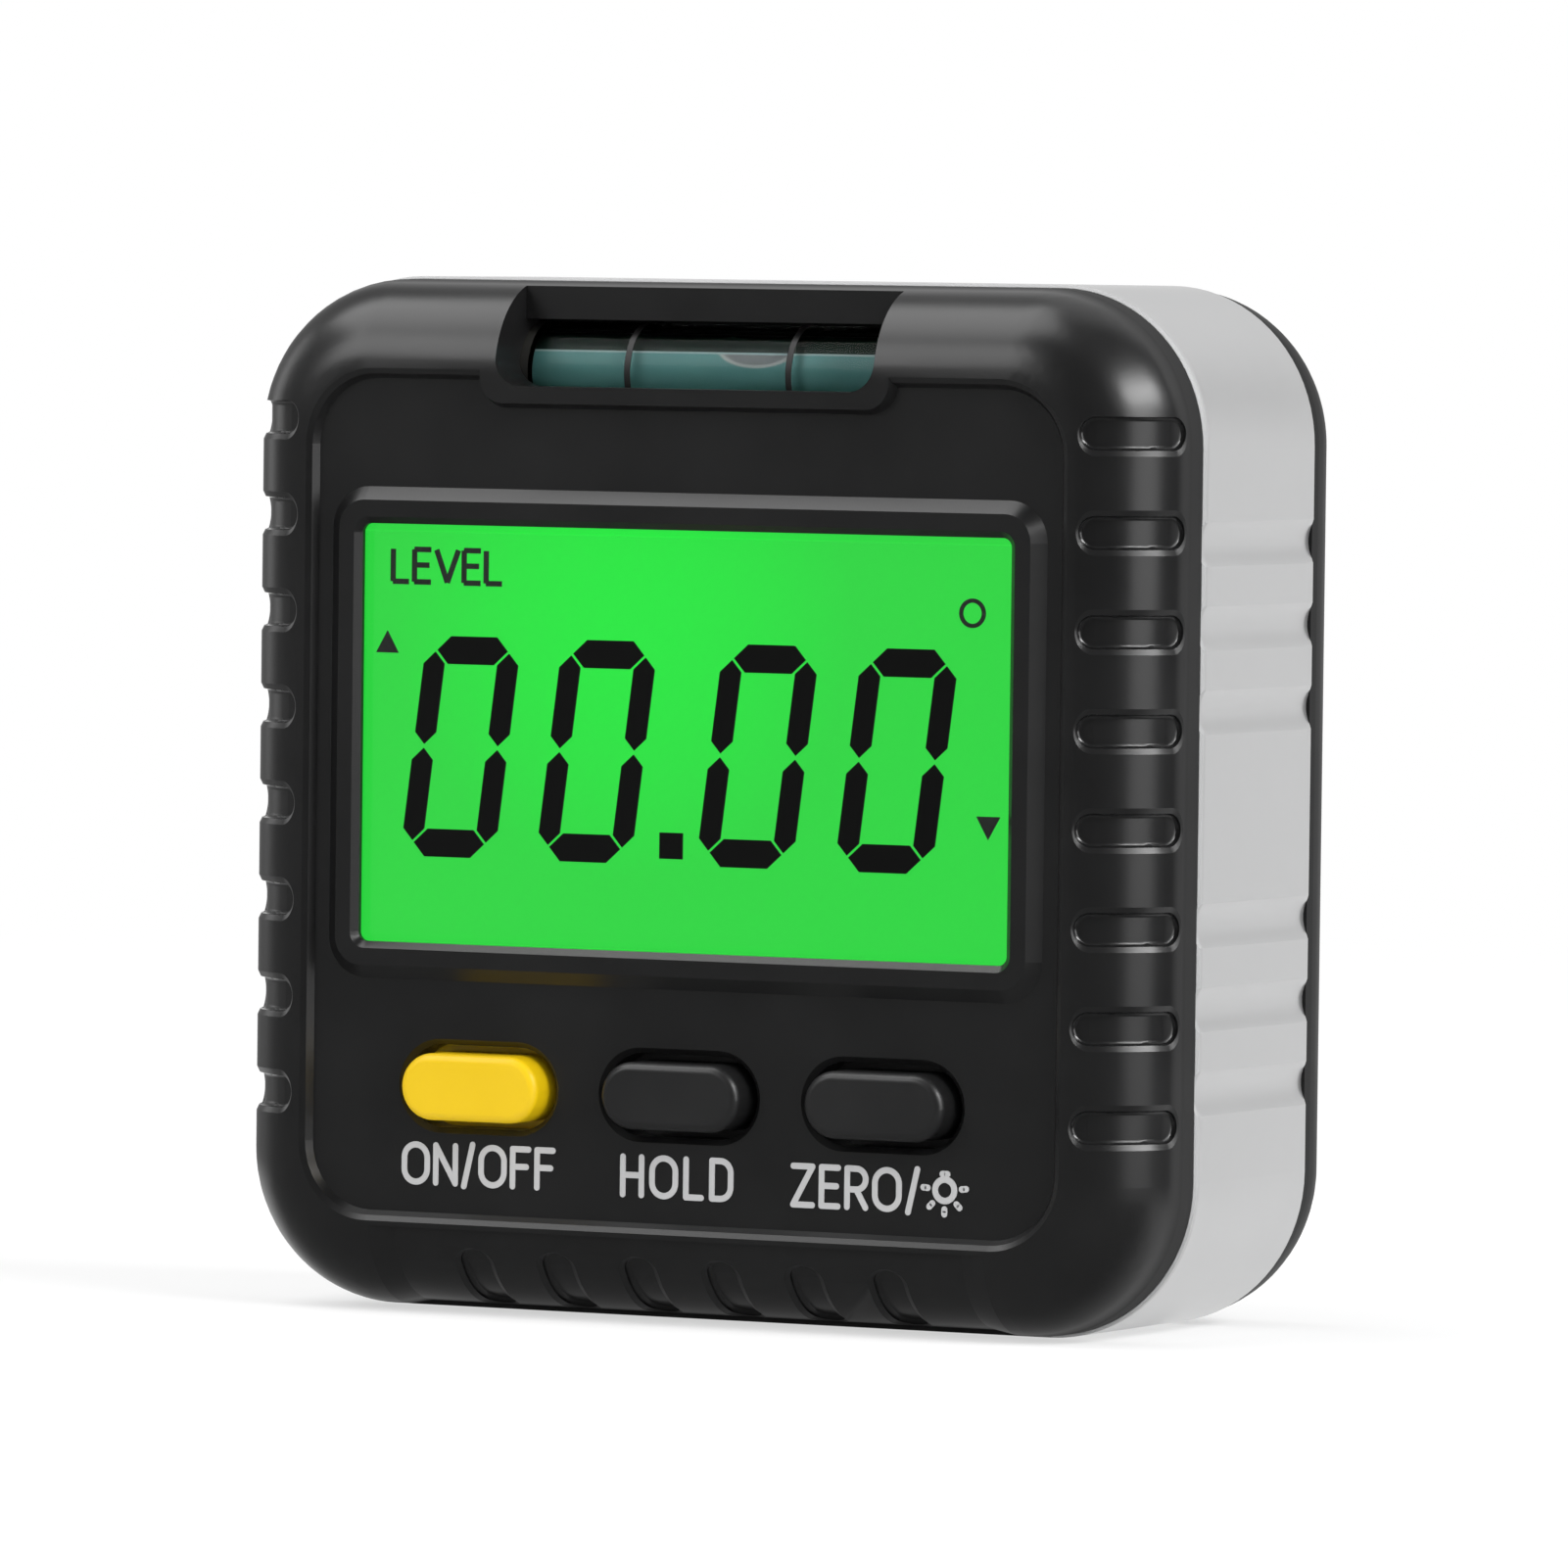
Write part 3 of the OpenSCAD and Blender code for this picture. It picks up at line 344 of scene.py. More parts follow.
def lit_display():
    """The lit green display: even, a little brighter towards its middle."""
    material, tree, shader = new_material(
        "display_green", Base_Color=(0.01, 0.05, 0.012, 1), Roughness=0.35,
        Specular_IOR_Level=0.2, Emission_Strength=1.0)
    centre = add(tree, "ShaderNodeMapping", vector_type="POINT", vector=object_place(tree))
    centre.inputs["Location"].default_value = DISPLAY_OFFSET
    fall = mask_over(tree, length_of(tree, centre.outputs["Vector"]), *DISPLAY_FALL)
    tree.links.new(blend_colours(tree, fall, GLOW_MIDDLE, GLOW_EDGE), shader["Emission Color"])
    return material


SPIRIT_SCALE, SPIRIT_DETAIL = 300.0, 2.0
SPIRIT_DEEP, SPIRIT_PALE = (0.105, 0.26, 0.26, 1), (0.13, 0.3, 0.29, 1)
# The bubble's middle and half sizes, in metres
BUBBLE_MIDDLE = (0.0025, -0.0075, 0.0515)
BUBBLE_REACH = (0.0028, 0.004, 0.0013)
# Where the bubble's painted highlight rim and its air begin and are full, in shares of its reach,
# and their tones
HIGHLIGHT_RIM_SPAN, HIGHLIGHT_RIM_TONE = (0.99, 0.93), (0.42, 0.42, 0.42, 1)
AIR_SPAN, AIR_TONE = (0.9, 0.82), (0.2, 0.2, 0.21, 1)
# Heights, in metres, where the painted highlight line and the painted shade above it begin and are
# full
HIGHLIGHT_LINE_RISE, HIGHLIGHT_LINE_TONE = (0.05108, 0.05113), (0.34, 0.45, 0.46, 1)
SHADE_RISE, SHADE_TONE = (0.05117, 0.05122), (0.004, 0.012, 0.008, 1)


def spirit():
    """The vial's blue-green spirit: cloudy below, with a painted highlight line across it and
    painted shade above that line, under the shell's ledge; grey over the bubble, ringed by a
    painted highlight."""
    material, tree, shader = new_material(
        "vial_spirit", Transmission_Weight=0.05, IOR=1.36, Metallic=0.0, Roughness=0.3,
        Specular_IOR_Level=0.03)
    place = object_place(tree)
    # The bubble lies under the top of the bore: its outline on the spirit's face is an ellipse
    about = add(tree, "ShaderNodeMapping", vector_type="TEXTURE", vector=place)
    about.inputs["Location"].default_value = BUBBLE_MIDDLE
    about.inputs["Scale"].default_value = BUBBLE_REACH
    reach = length_of(tree, about.outputs["Vector"])
    rise = split(tree, place)["Z"]
    cloud = noise(tree, place, SPIRIT_SCALE, SPIRIT_DETAIL)
    colour = blend_colours(tree, cloud, SPIRIT_DEEP, SPIRIT_PALE)
    # Each layer covers those before it: the bubble's painted highlight rim, its grey air, the
    # painted highlight line and the painted shade
    for source, span, tone in ((reach, HIGHLIGHT_RIM_SPAN, HIGHLIGHT_RIM_TONE), (reach, AIR_SPAN, AIR_TONE),
                               (rise, HIGHLIGHT_LINE_RISE, HIGHLIGHT_LINE_TONE), (rise, SHADE_RISE, SHADE_TONE)):
        colour = blend_colours(tree, mask_over(tree, source, *span), colour, tone)
    tree.links.new(colour, shader["Base Color"])
    return material


# Where a cell's end bands begin, in metres from its middle
CELL_BAND = (0.0165, 0.0166)
JACKET_TONE, BAND_TONE = (0.3, 0.36, 0.42, 1), (0.03, 0.035, 0.05, 1)


def cell_jacket():
    """A plain battery jacket: pale grey-blue with a dark band at each end."""
    material, tree, shader = new_material("cell_jacket", Roughness=0.3)
    reach = reckon(tree, "ABSOLUTE", split(tree, object_place(tree))["X"])
    band = mask_over(tree, reach, *CELL_BAND)
    tree.links.new(blend_colours(tree, band, JACKET_TONE, BAND_TONE), shader["Base Color"])
    return material


TRACK_SCALE = 450.0
MASK_TONE, MASK_OTHER_TONE = (0.012, 0.1, 0.035, 1), (0.015, 0.12, 0.04, 1)
TRACK_TONE = (0.03, 0.2, 0.07, 1)


def board_mask():
    """Green solder mask with pale traces."""
    material, tree, shader = new_material("board_mask", Roughness=0.35)
    tracks = add(tree, "ShaderNodeTexBrick", vector=object_place(tree), scale=TRACK_SCALE,
                 color1=MASK_TONE, color2=MASK_OTHER_TONE, mortar=TRACK_TONE)
    tree.links.new(tracks.outputs["Color"], shader["Base Color"])
    return material


# The shell's rounded side edges, in metres: their axis, radius and straight run, and how near to
# that radius a corner lies
EDGE_AXIS_X = 0.02235
EDGE_AXIS_LEVEL = 0.00785
EDGE_RADIUS = 0.005
EDGE_RUN = (0.0085, 0.0465)
EDGE_SLACK = 0.00002
# The middle and reach of the row of side grips, and the radii and width over which their walls lie
GRIP_ROW_MIDDLE = 0.02945
GRIP_ROW_REACH = (0.0186, 0.0185)
WALL_TOP = (0.00487, 0.00482)
WALL_FOOT = (0.0046, 0.00466)
WALL_OUT = (0.0003, 0.0005)
# Levels over which the shell's band next to the frame and the frame's front edge begin
FRAME_BAND = (-0.0092, -0.008)
FRAME_EDGE = (-0.0061, -0.0063)
# Their gloss
BAND_ROUGHNESS = 0.85
WALL_ROUGHNESS = 0.12
FRAME_EDGE_ROUGHNESS = 0.75


def regloss(material, mask_of, roughness):
    """Gives a material another roughness where a mask, made from the place on the part, is 1."""
    tree = material.node_tree
    rough = tree.nodes["Principled BSDF"].inputs["Roughness"]
    usual = rough.links[0].from_socket
    mask = mask_of(tree, split(tree, object_place(tree)))
    tree.links.new(choose(tree, mask, usual, roughness), rough)


def next_to_frame(tree, place):
    """The shell's straight band next to the frame."""
    return mask_over(tree, place["Y"], *FRAME_BAND)


def frame_front_edge(tree, place):
    """The rounded front edge of the frame."""
    return mask_over(tree, place["Y"], *FRAME_EDGE)


def side_grip_walls(tree, place):
    """The walls of the side grips: nearer to the axis of the shell's rounded edge than its
    surface."""
    out = reckon(tree, "SUBTRACT", reckon(tree, "ABSOLUTE", place["X"]), EDGE_AXIS_X)
    ahead = reckon(tree, "ADD", place["Y"], EDGE_AXIS_LEVEL)
    spoke = add(tree, "ShaderNodeCombineXYZ", x=out, y=ahead)
    radius = length_of(tree, spoke.outputs["Vector"])
    rise = reckon(tree, "SUBTRACT", place["Z"], GRIP_ROW_MIDDLE)
    below = mask_over(tree, radius, *WALL_TOP)
    wall = ramp_between(tree, radius, *WALL_FOOT, 0.0, below)
    outer = ramp_between(tree, out, *WALL_OUT, 0.0, wall)
    return ramp_between(tree, reckon(tree, "ABSOLUTE", rise), *GRIP_ROW_REACH, 0.0, outer)


SHELL_BLACK = pipped("shell_black", (0.006, 0.006, 0.0062), (0.008, 0.008, 0.0082),
                     gloss=(0.28, 0.315), bump=0.12, Specular_IOR_Level=0.5)
REAR_BLACK = pipped("rear_black", (0.0075, 0.0075, 0.0077), (0.01, 0.01, 0.0102),
                    gloss=(0.46, 0.54), bump=0.3, Specular_IOR_Level=0.15)
CAP_BLACK = pipped("cap_black", (0.0092, 0.0092, 0.0095), (0.0115, 0.0115, 0.0118),
                   gloss=(0.34, 0.4), bump=0.12, Specular_IOR_Level=0.5)
CAP_YELLOW = pipped("cap_yellow", (0.7, 0.458, 0.002), (0.73, 0.486, 0.004),
                    gloss=(0.34, 0.42), bump=0.12, Specular_IOR_Level=0.3)
CHIP_BLACK = pipped("chip_black", (0.016, 0.016, 0.017), (0.02, 0.02, 0.021), gloss=(0.5, 0.62))
RUBBER = pipped("soft_black", (0.016, 0.016, 0.015), (0.024, 0.023, 0.02), gloss=(0.4, 0.55))
MILKY = pipped("milky_white", (0.8, 0.8, 0.77), (0.84, 0.84, 0.81), gloss=(0.4, 0.5))
INK_WHITE = pipped("ink_white", (0.41, 0.41, 0.415), (0.45, 0.45, 0.455), gloss=(0.5, 0.6),
                   bump=0.1)
SEGMENT_BLACK = pipped("segment_black", (0.006, 0.006, 0.006), (0.009, 0.009, 0.009),
                       gloss=(0.45, 0.55), bump=0.05)
ANODISED = pipped("anodised_silver", (0.5, 0.502, 0.505), (0.52, 0.522, 0.525),
                  gloss=(0.285, 0.335), bump=0.04, pips=COARSE_PIPS, Metallic=0.8)
PLATED = drawn("plated_steel", (0.62, 0.61, 0.57), (0.55, 0.54, 0.5), gloss=(0.28, 0.36))
NICKEL = drawn("magnet_nickel", (0.58, 0.58, 0.58), (0.52, 0.52, 0.52), gloss=(0.16, 0.26),
               along=LINES_EVEN)
DARK_ZINC = drawn("dark_zinc", (0.2, 0.2, 0.21), (0.16, 0.16, 0.17), gloss=(0.3, 0.4))
WINDOW_CLEAR = clear_plastic("window_clear", (0.97, 0.99, 0.98), roughness=0.01, ior=1.49,
                             sheen=0.1)
TUBE_CLEAR = clear_plastic("tube_clear", (0.93, 0.98, 0.97), roughness=0.02, ior=1.12, sheen=0.5)
DISPLAY_GREEN = lit_display()
SPIRIT = spirit()
CELL_JACKET = cell_jacket()
BOARD_MASK = board_mask()

regloss(SHELL_BLACK, next_to_frame, BAND_ROUGHNESS)
regloss(SHELL_BLACK, side_grip_walls, WALL_ROUGHNESS)
regloss(ANODISED, frame_front_edge, FRAME_EDGE_ROUGHNESS)

FINISHES = {
    SHELL_BLACK: ["front_shell"],
    REAR_BLACK: ["rear_cover", "battery_door"],
    ANODISED: ["side_frame"],
    WINDOW_CLEAR: ["screen_window"],
    DISPLAY_GREEN: ["lcd_panel"],
    SEGMENT_BLACK: ["lcd_digits", "vial_lines"],
    MILKY: ["backlight"],
    RUBBER: ["zebra_strips", "vial_plugs"],
    BOARD_MASK: ["circuit_board"],
    CHIP_BLACK: ["controller_chip", "tilt_sensor", "power_plunger", "hold_plunger",
                 "zero_plunger"],
    PLATED: ["switch_bodies", "bridge_contact", "positive_contact", "negative_contact",
             "contact_springs"],
    CAP_YELLOW: ["power_button"],
    CAP_BLACK: ["hold_button", "zero_button"],
    TUBE_CLEAR: ["vial_tube"],
    SPIRIT: ["vial_fluid"],
    NICKEL: ["base_magnets"],
    CELL_JACKET: ["upper_cell", "lower_cell"],
    DARK_ZINC: ["case_screws", "board_screws"],
}
for finish, names in FINISHES.items():
    for name in names:
        NODES[name].data.materials.clear()
        NODES[name].data.materials.append(finish)


def new_piece(bm, name, material):
    """An object at the origin, made from a bmesh, in one material."""
    mesh = bpy.data.meshes.new(name)
    bm.to_mesh(mesh)
    bm.free()
    mesh.materials.append(material)
    piece = bpy.data.objects.new(name, mesh)
    bpy.context.scene.collection.objects.link(piece)
    return piece


# The shell's outside, with even triangles on its rounded side edges

# How near two corners of the solid's loose triangles lie to be one, in metres
CORNER_MERGE = 0.000001


def spoke_of(point):
    """From the axis of the rounded side edge to a point, square to that axis."""
    out = math.copysign(abs(point.x) - EDGE_AXIS_X, point.x)
    return Vector((out, point.y + EDGE_AXIS_LEVEL, 0.0))


def on_side_edge(point):
    """True on the straight run of a rounded side edge."""
    spoke = spoke_of(point)
    ahead = spoke.x * point.x >= 0.0 >= spoke.y
    rounded = abs(spoke.length - EDGE_RADIUS) < EDGE_SLACK
    return ahead and rounded and EDGE_RUN[0] < point.z < EDGE_RUN[1]


def make_shell_skin():
    """A merged copy of the front shell: the long flat triangles between the grips are turned to
    follow the edge."""
    source = NODES["front_shell"].data
    facings = [corner.vector.copy() for corner in source.corner_normals]
    bm = bmesh.new()
    bm.from_mesh(source)
    facing = bm.loops.layers.float_vector.new("facing")
    corners = (corner for face in bm.faces for corner in face.loops)
    for corner, normal in zip(corners, facings):
        corner[facing] = normal
    bmesh.ops.remove_doubles(bm, verts=bm.verts, dist=CORNER_MERGE)
    rounded = {face for face in bm.faces if all(on_side_edge(vert.co) for vert in face.verts)}
    between = [edge for edge in bm.edges
               if len(edge.link_faces) == 2 and rounded.issuperset(edge.link_faces)]
    bmesh.ops.beautify_fill(bm, faces=list(rounded), edges=between, method="ANGLE")
    normals = []
    for face in bm.faces:
        face.smooth = True
        follows = all(on_side_edge(vert.co) for vert in face.verts)
        for corner in face.loops:
            normal = spoke_of(corner.vert.co).normalized() if follows else corner[facing]
            normals.append(Vector(normal))
    skin = new_piece(bm, "front_shell_skin", SHELL_BLACK)
    skin.data.normals_split_custom_set(normals)
    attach(skin, "case")
    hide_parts("front_shell")


make_shell_skin()


# Marks drawn with a pen: strokes of a fixed width that run straight or turn. Their working frame
# is in millimetres, with x to the right, y up and z to the user.

STAND = Matrix.Scale(MM, 4) @ Matrix.Rotation(math.radians(90), 4, "X")
# Levels of the panel's face and of the display's segments, and the depths of the marks on them
PANEL_LEVEL, INK_DEPTH = 12.25, 0.03
SEGMENT_LEVEL, SEGMENT_DEPTH = 11.57, 0.07
MARK_MERGE = 0.0005
# More than the corners of any mark
CORNERS_MOST = 10000


class Pen:
    """Draws strokes of one width; each lies a hair above the last, so crossings stay clean."""

    HAIR = 0.0015
    END_SIDES = 24
    TURN_STEP = 10
    FEWEST_STEPS = 3

    def __init__(self, width, round_ends=True):
        self.bm = bmesh.new()
        self.width = width
        self.round_ends = round_ends
        self.height = 0.0

    def stroke(self, start, heading, moves):
        """Moves are a length straight ahead, or (radius, degrees) for a turn, left if positive."""
        angle = math.radians(heading)
        ahead = Vector((math.cos(angle), math.sin(angle), 0.0))
        left = Vector((-ahead.y, ahead.x, 0.0))
        here = Vector((*start, self.height))
        ends = [here.copy()]
        tips = [self.bm.verts.new(here + left * side * self.width / 2) for side in (1, -1)]
        nib = self.bm.edges.new(tips)
        for move in moves:
            if isinstance(move, tuple):
                radius, degrees = move
                bend = math.radians(degrees)
                centre = here + left * math.copysign(radius, bend)
                steps = max(self.FEWEST_STEPS, round(abs(degrees) / self.TURN_STEP))
                made = bmesh.ops.spin(self.bm, geom=[*nib.verts, nib], cent=centre,
                                      axis=(0, 0, 1), angle=bend, steps=steps)
                nib = next(part for part in made["geom_last"]
                           if isinstance(part, bmesh.types.BMEdge))
                turn = Matrix.Rotation(bend, 3, "Z")
                here = centre + turn @ (here - centre)
                ahead, left = turn @ ahead, turn @ left
            else:
                made = bmesh.ops.extrude_edge_only(self.bm, edges=[nib])
                tips = [part for part in made["geom"] if isinstance(part, bmesh.types.BMVert)]
                bmesh.ops.translate(self.bm, verts=tips, vec=ahead * move)
                nib = next(edge for edge in tips[0].link_edges
                           if edge.other_vert(tips[0]) is tips[1])
                here = here + ahead * move
        ends.append(here.copy())
        self.height += self.HAIR
        if self.round_ends:
            for end in ends:
                end.z = self.height
                bmesh.ops.create_circle(self.bm, cap_ends=True, segments=self.END_SIDES,
                                        radius=self.width / 2, matrix=Matrix.Translation(end))
            self.height += self.HAIR

    def lift(self):
        """Back to the lowest layer, for marks that cross none of those before."""
        self.height = 0.0


def straight(start, end):
    """A straight stroke from one point to another: its start, heading and length."""
    step = Vector(end) - Vector(start)
    return start, math.degrees(math.atan2(step.y, step.x)), [step.length]


def letter_strokes(letter, w, h):
    """Centre-line strokes of a plain capital in a box w wide and h high."""
    oval = w / 2
    bowl = h * 0.27
    corner = min(w * 0.55, h * 0.32)
    bar, f_bar = h * 0.52, h * 0.53
    slash_foot, slash_head = -h * 0.06, h * 1.06
    stem = straight((0, 0), (0, h))
    top = straight((0, h), (w, h))
    foot = straight((0, 0), (w, 0))
    return {
        "O": [((w, oval), 90, [h - w, (oval, 180), h - w, (oval, 180)])],
        "N": [stem, straight((0, h), (w, 0)), straight((w, 0), (w, h))],
        "/": [straight((0, slash_foot), (w, slash_head))],
        "F": [stem, top, straight((0, f_bar), (w * 0.86, f_bar))],
        "H": [stem, straight((w, 0), (w, h)), straight((0, bar), (w, bar))],
        "L": [straight((0, h), (0, 0)), foot],
        "D": [stem,
              ((0, h), 0, [w - corner, (corner, -90), h - 2 * corner, (corner, -90), w - corner])],
        "Z": [top, straight((w, h), (0, 0)), foot],
        "E": [stem, top, straight((0, bar), (w * 0.9, bar)), foot],
        "R": [stem, ((0, h), 0, [w - bowl, (bowl, -180), w - bowl]),
              straight((w * 0.5, h - 2 * bowl), (w, 0))],
        "V": [straight((0, h), (w / 2, 0)), straight((w / 2, 0), (w, h))],
    }[letter]


# Shares of the letters' height
LETTER_WIDTHS = {"O": 0.7, "N": 0.6, "/": 0.26, "F": 0.48, "H": 0.56, "L": 0.46, "D": 0.56,
                 "Z": 0.56, "E": 0.48, "R": 0.54, "V": 0.64}


def draw_word(pen, word, left, right, low, high, stretch=1.0):
    """Writes a word between two sides and two heights, its letters evenly spaced."""
    h = high - low - pen.width
    widths = [LETTER_WIDTHS[letter] * h * stretch for letter in word]
    gap = (right - left - pen.width - sum(widths)) / (len(word) - 1)
    x, y = left + pen.width / 2, low + pen.width / 2
    for letter, w in zip(word, widths):
        pen.lift()
        for start, heading, moves in letter_strokes(letter, w, h):
            pen.stroke((x + start[0], y + start[1]), heading, moves)
        x += w + gap


def corner_order(face):
    """A number that sorts faces by their three lowest corners."""
    first, second, third = sorted(vert.index for vert in face.verts)[:3]
    return (first * CORNERS_MOST + second) * CORNERS_MOST + third


def finish_marks(bm, name, level, depth, material):
    """Gives flat marks their thickness, stands them at their level and ties them to the case."""
    bmesh.ops.remove_doubles(bm, verts=bm.verts, dist=MARK_MERGE)
    bm.normal_update()
    bmesh.ops.reverse_faces(bm, faces=[face for face in bm.faces if face.normal.z < 0])
    bmesh.ops.solidify(bm, geom=bm.faces[:], thickness=depth)
    bmesh.ops.recalc_face_normals(bm, faces=bm.faces)
    # The rim's faces come in another order each run, so all are sorted
    bm.verts.index_update()
    bm.faces.sort(key=corner_order)
    bottom = min(vert.co.z for vert in bm.verts)
    bmesh.ops.translate(bm, verts=bm.verts, vec=(0, 0, level - bottom))
    bmesh.ops.transform(bm, matrix=STAND, verts=bm.verts)
    piece = new_piece(bm, name, material)
    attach(piece, "case")


def ink_on_panel(bm, name):
    """White ink on the panel's face."""
    finish_marks(bm, name, PANEL_LEVEL, INK_DEPTH, INK_WHITE)


def segment_on_display(bm, name):
    """A dark segment in the display."""
    finish_marks(bm, name, SEGMENT_LEVEL, SEGMENT_DEPTH, SEGMENT_BLACK)


# Name, word, left, right, foot and head
LABEL_PEN = 0.33
LABELS = (("label_power", "ON/OFF", -16.65, -7.34, 6.84, 9.15),
          ("label_hold", "HOLD", -3.46, 3.30, 6.71, 9.03),
          ("label_zero", "ZERO/", 6.68, 14.3, 6.62, 8.97))
# The lamp sign: its ring, the cap above it, and the rays' directions and two ends
LAMP_PEN = 0.34
LAMP_MIDDLE, LAMP_RADIUS = (15.75, 7.9), 0.56
LAMP_CAP_RISE, LAMP_CAP_WIDTH = 0.84, 0.28
LAMP_RAYS = (5, 175, 225, 270, 315)
RAY_START, RAY_END = 1.0, 1.25


def make_labels():
    """White function words under the buttons, and the lamp sign."""
    for name, word, left, right, low, high in LABELS:
        pen = Pen(LABEL_PEN)
        draw_word(pen, word, left, right, low, high)
        ink_on_panel(pen.bm, name)
    pen = Pen(LAMP_PEN)
    middle = Vector(LAMP_MIDDLE)
    pen.stroke((middle.x + LAMP_RADIUS, middle.y), 90, [(LAMP_RADIUS, 360)])
    pen.stroke((middle.x - LAMP_CAP_WIDTH / 2, middle.y + LAMP_CAP_RISE), 0, [LAMP_CAP_WIDTH])
    for degrees in LAMP_RAYS:
        way = Vector((math.cos(math.radians(degrees)), math.sin(math.radians(degrees))))
        pen.stroke(*straight(tuple(middle + way * RAY_START), tuple(middle + way * RAY_END)))
    ink_on_panel(pen.bm, "label_lamp")


# The display's word: left, right, foot, head and the stretch of its letters
WORD_PEN = 0.29
WORD_BOX = (-17.96, -11.08, 38.68, 40.69)
WORD_STRETCH = 1.2
# Name, middle, radius and direction, up or down
POINTERS = (("display_rise", (-18.11, 35.42), 0.78, 1), ("display_fall", (17.79, 26.99), 0.8, -1))
DEGREE_PEN = 0.22
DEGREE_MIDDLE, DEGREE_RADIUS = (16.72, 37.94), 0.66


def make_display_marks():
    """The word, pointers and degree sign on the display."""
    pen = Pen(WORD_PEN, round_ends=False)
    draw_word(pen, "LEVEL", *WORD_BOX, WORD_STRETCH)
    segment_on_display(pen.bm, "display_word")
    for name, middle, radius, way in POINTERS:
        bm = bmesh.new()
        bmesh.ops.create_circle(bm, cap_ends=True, segments=3, radius=radius)
        top = max(bm.verts, key=lambda vert: vert.co.y)
        spin = way * math.radians(90) - math.atan2(top.co.y, top.co.x)
        bmesh.ops.rotate(bm, verts=bm.verts, matrix=Matrix.Rotation(spin, 3, "Z"))
        bmesh.ops.translate(bm, verts=bm.verts, vec=(*middle, 0))
        segment_on_display(bm, name)
    pen = Pen(DEGREE_PEN, round_ends=False)
    pen.stroke((DEGREE_MIDDLE[0] + DEGREE_RADIUS, DEGREE_MIDDLE[1]), 90, [(DEGREE_RADIUS, 360)])
    segment_on_display(pen.bm, "display_degree")


make_labels()
make_display_marks()


# Studio, in metres

FLOOR_RADIUS, FLOOR_SIDES = 6.0, 96
FLOOR_LEVEL = -0.00005
FLOOR_TONE = (0.86, 0.86, 0.86, 1)
# The floor's own white: its share close to the gauge, and the distances over which it takes over
FLOOR_GLOW, FLOOR_FADE = 0.6, (0.05, 0.4)
GAUGE_HALF_WIDTH = 0.03
# The floor at the foot of the frame's sides is pale in a gloss: places across, to the back and out
FOOT_LEVEL = 0.98
FOOT_ACROSS, FOOT_BACK, FOOT_REACH = (0.012, 0.024), (-0.011, -0.005), (0.05, 0.1)


def make_floor():
    """A pale floor that fades into the white background and keeps the gauge's shadow."""
    material = bpy.data.materials.new("floor_white")
    material.use_nodes = True
    tree = material.node_tree
    tree.nodes.remove(tree.nodes["Principled BSDF"])
    link = tree.links.new
    paint = add(tree, "ShaderNodeBsdfDiffuse")
    paint.inputs["Color"].default_value = FLOOR_TONE
    place = object_place(tree)
    reach = length_of(tree, place)
    room = add(tree, "ShaderNodeGroup", node_tree=ROOM_LIGHT, place=place,
               half_width=GAUGE_HALF_WIDTH).outputs["Strength"]
    path = add(tree, "ShaderNodeLightPath").outputs
    mirrored = reckon(tree, "ADD", path["Is Glossy Ray"], path["Is Transmission Ray"], clamp=True)
    parts = split(tree, place)
    across = reckon(tree, "ABSOLUTE", parts["X"])
    beside = ramp_between(tree, across, *FOOT_ACROSS, room, FOOT_LEVEL)
    foot = ramp_between(tree, parts["Y"], *FOOT_BACK, room, beside)
    level = ramp_between(tree, reach, *FOOT_REACH, foot, room)
    glow = add(tree, "ShaderNodeEmission", strength=choose(tree, mirrored, 1.0, level))
    share = ramp_between(tree, reach, *FLOOR_FADE, FLOOR_GLOW, 1.0)
    seen = choose(tree, path["Is Camera Ray"], 0.0, share)
    mix = add(tree, "ShaderNodeMixShader", fac=reckon(tree, "MAXIMUM", seen, mirrored))
    link(paint.outputs["BSDF"], mix.inputs[1])
    link(glow.outputs["Emission"], mix.inputs[2])
    link(mix.outputs["Shader"], tree.nodes["Material Output"].inputs["Surface"])
    bm = bmesh.new()
    bmesh.ops.create_circle(bm, cap_ends=True, segments=FLOOR_SIDES, radius=FLOOR_RADIUS)
    floor = new_piece(bm, "floor", material)
    floor.location.z = FLOOR_LEVEL


# The level of light from all round
WORLD_LEVEL = 0.5
# The white behind the gauge falls a little with height, and rises again higher up
LOW_RISE, LOW_LEVELS = (0.02, 0.26), (1.0, 0.7)
HIGH_RISE, HIGH_LEVEL = (0.3, 0.5), 0.9


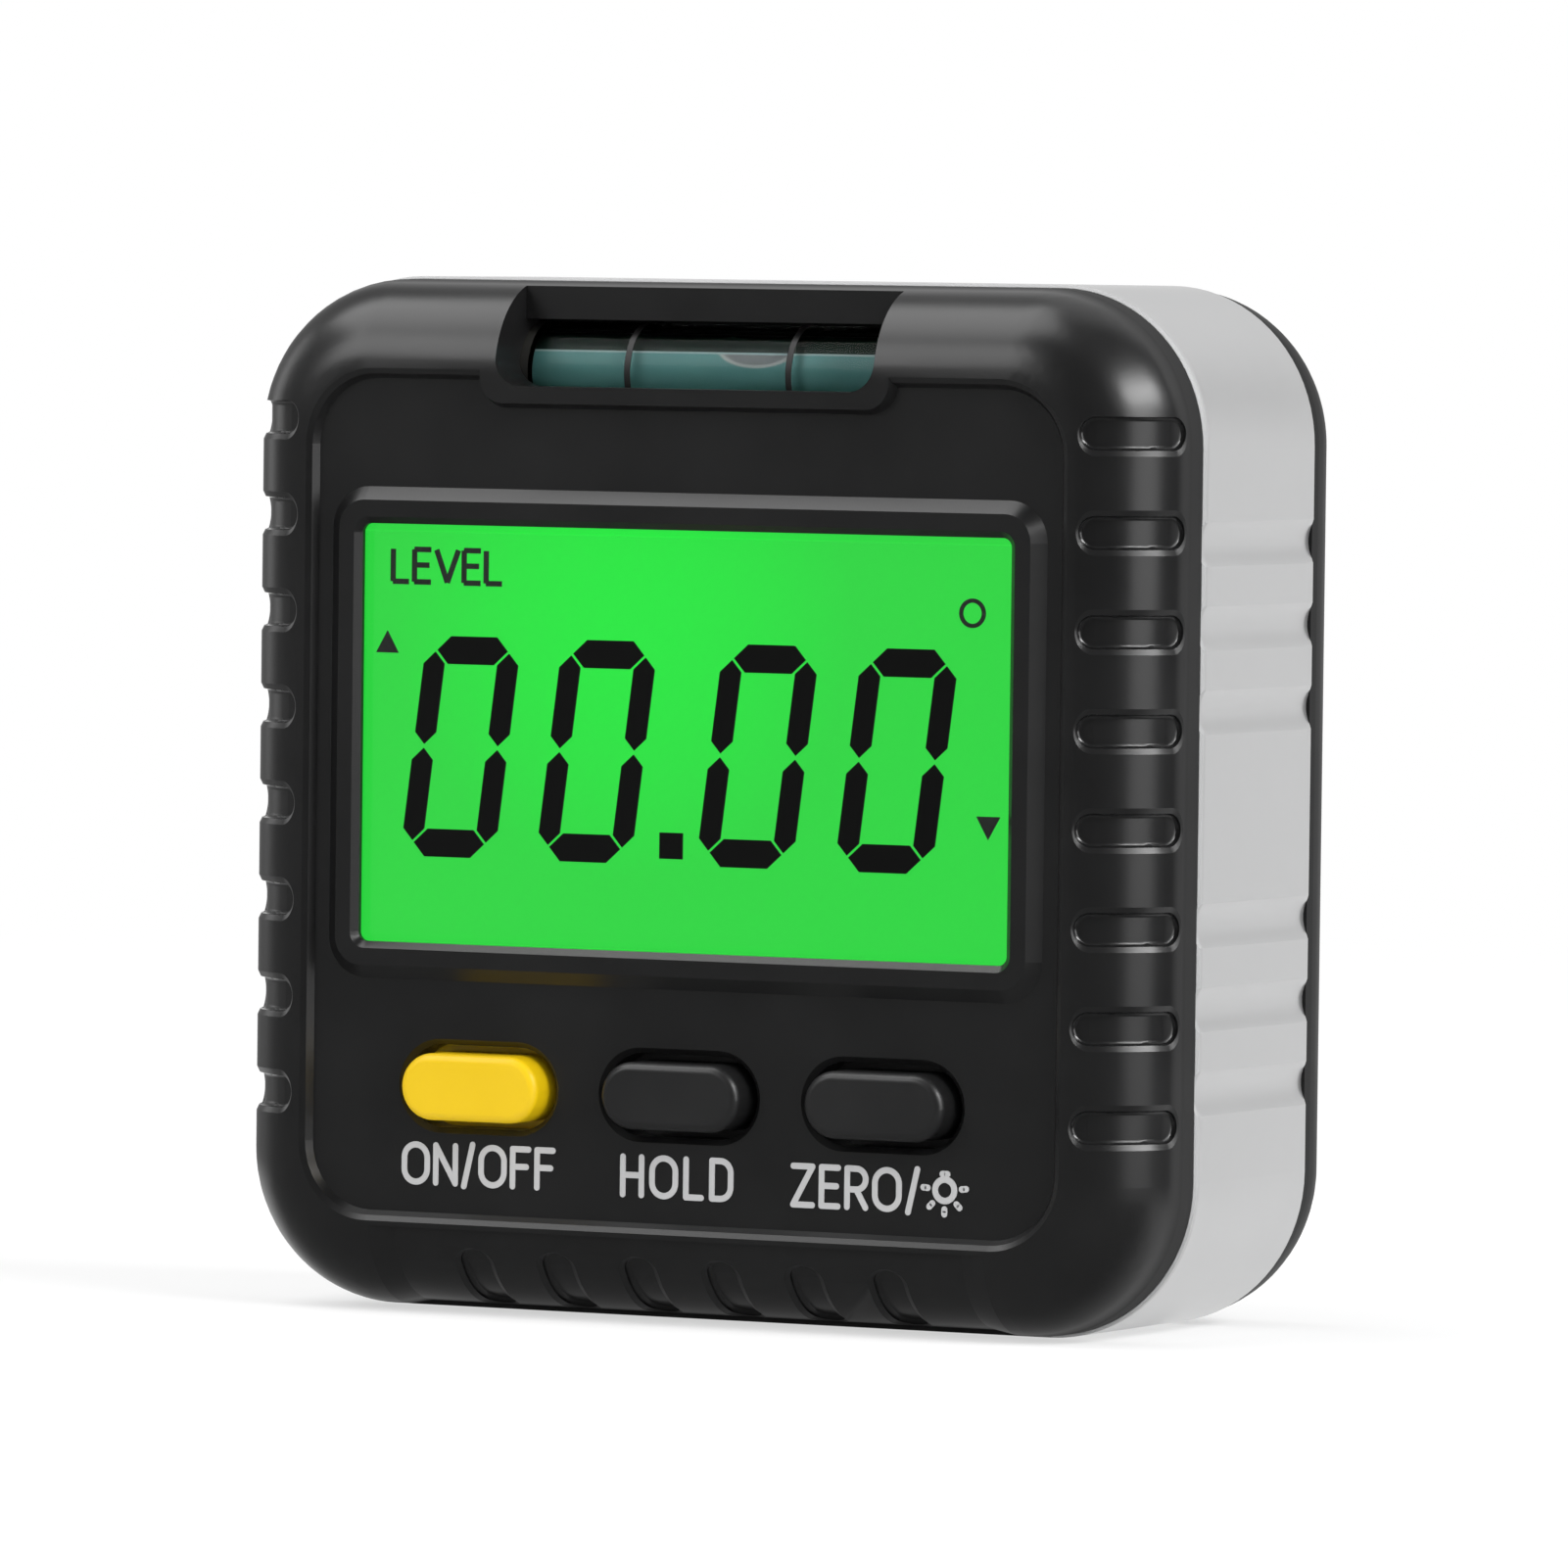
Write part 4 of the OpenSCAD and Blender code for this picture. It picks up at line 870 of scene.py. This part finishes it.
def make_world():
    """White where it is seen, paler behind the gauge than before it in a gloss, and a plain level
    of light elsewhere."""
    world = bpy.data.worlds.new("studio")
    bpy.context.scene.world = world
    world.use_nodes = True
    tree = world.node_tree
    sky = tree.nodes["Background"].inputs
    sky["Color"].default_value = (1, 1, 1, 1)
    path = add(tree, "ShaderNodeLightPath").outputs
    seen = reckon(tree, "ADD", path["Is Camera Ray"], path["Is Glossy Ray"], clamp=True)
    through = reckon(tree, "ADD", seen, path["Is Transmission Ray"], clamp=True)
    way = add(tree, "ShaderNodeTexCoord").outputs["Generated"]
    rise = split(tree, way)["Z"]
    falling = ramp_between(tree, rise, *LOW_RISE, *LOW_LEVELS)
    behind = ramp_between(tree, rise, *HIGH_RISE, falling, HIGH_LEVEL)
    room = add(tree, "ShaderNodeGroup", node_tree=ROOM_LIGHT, place=way, behind=behind)
    gloss = choose(tree, through, WORLD_LEVEL, room.outputs["Strength"])
    tree.links.new(choose(tree, path["Is Camera Ray"], gloss, 1.0), sky["Strength"])


LIGHT_TARGET = (0, 0, 0.0275)
# Place, size and power in watts
LIGHTS = {
    "key_light": ((-0.6, -0.8, 0.6), (0.5, 0.5), 3.2),
    "top_light": ((-0.43, -0.15, 0.86), (0.7, 0.7), 5.0),
    "left_light": ((-0.95, 0.16, 0.12), (0.3, 0.8), 0.9),
    "right_light": ((0.78, -0.1, 0.57), (0.75, 0.24), 8.5),
    "right_fill": ((0.95, -0.23, 0.1), (0.6, 0.7), 4.7),
}


def make_light(name, place, size, power):
    """A soft box aimed at the middle of the gauge."""
    data = bpy.data.lights.new(name, "AREA")
    data.shape = "RECTANGLE"
    data.size, data.size_y = size
    data.energy = power
    lamp = bpy.data.objects.new(name, data)
    lamp.location = place
    aim = Vector(LIGHT_TARGET) - Vector(place)
    lamp.rotation_euler = aim.to_track_quat("-Z", "Y").to_euler()
    lamp.visible_camera = False
    bpy.context.scene.collection.objects.link(lamp)


make_floor()
make_world()
for name, (place, size, power) in LIGHTS.items():
    make_light(name, place, size, power)

bpy.context.scene.view_settings.view_transform = "Standard"
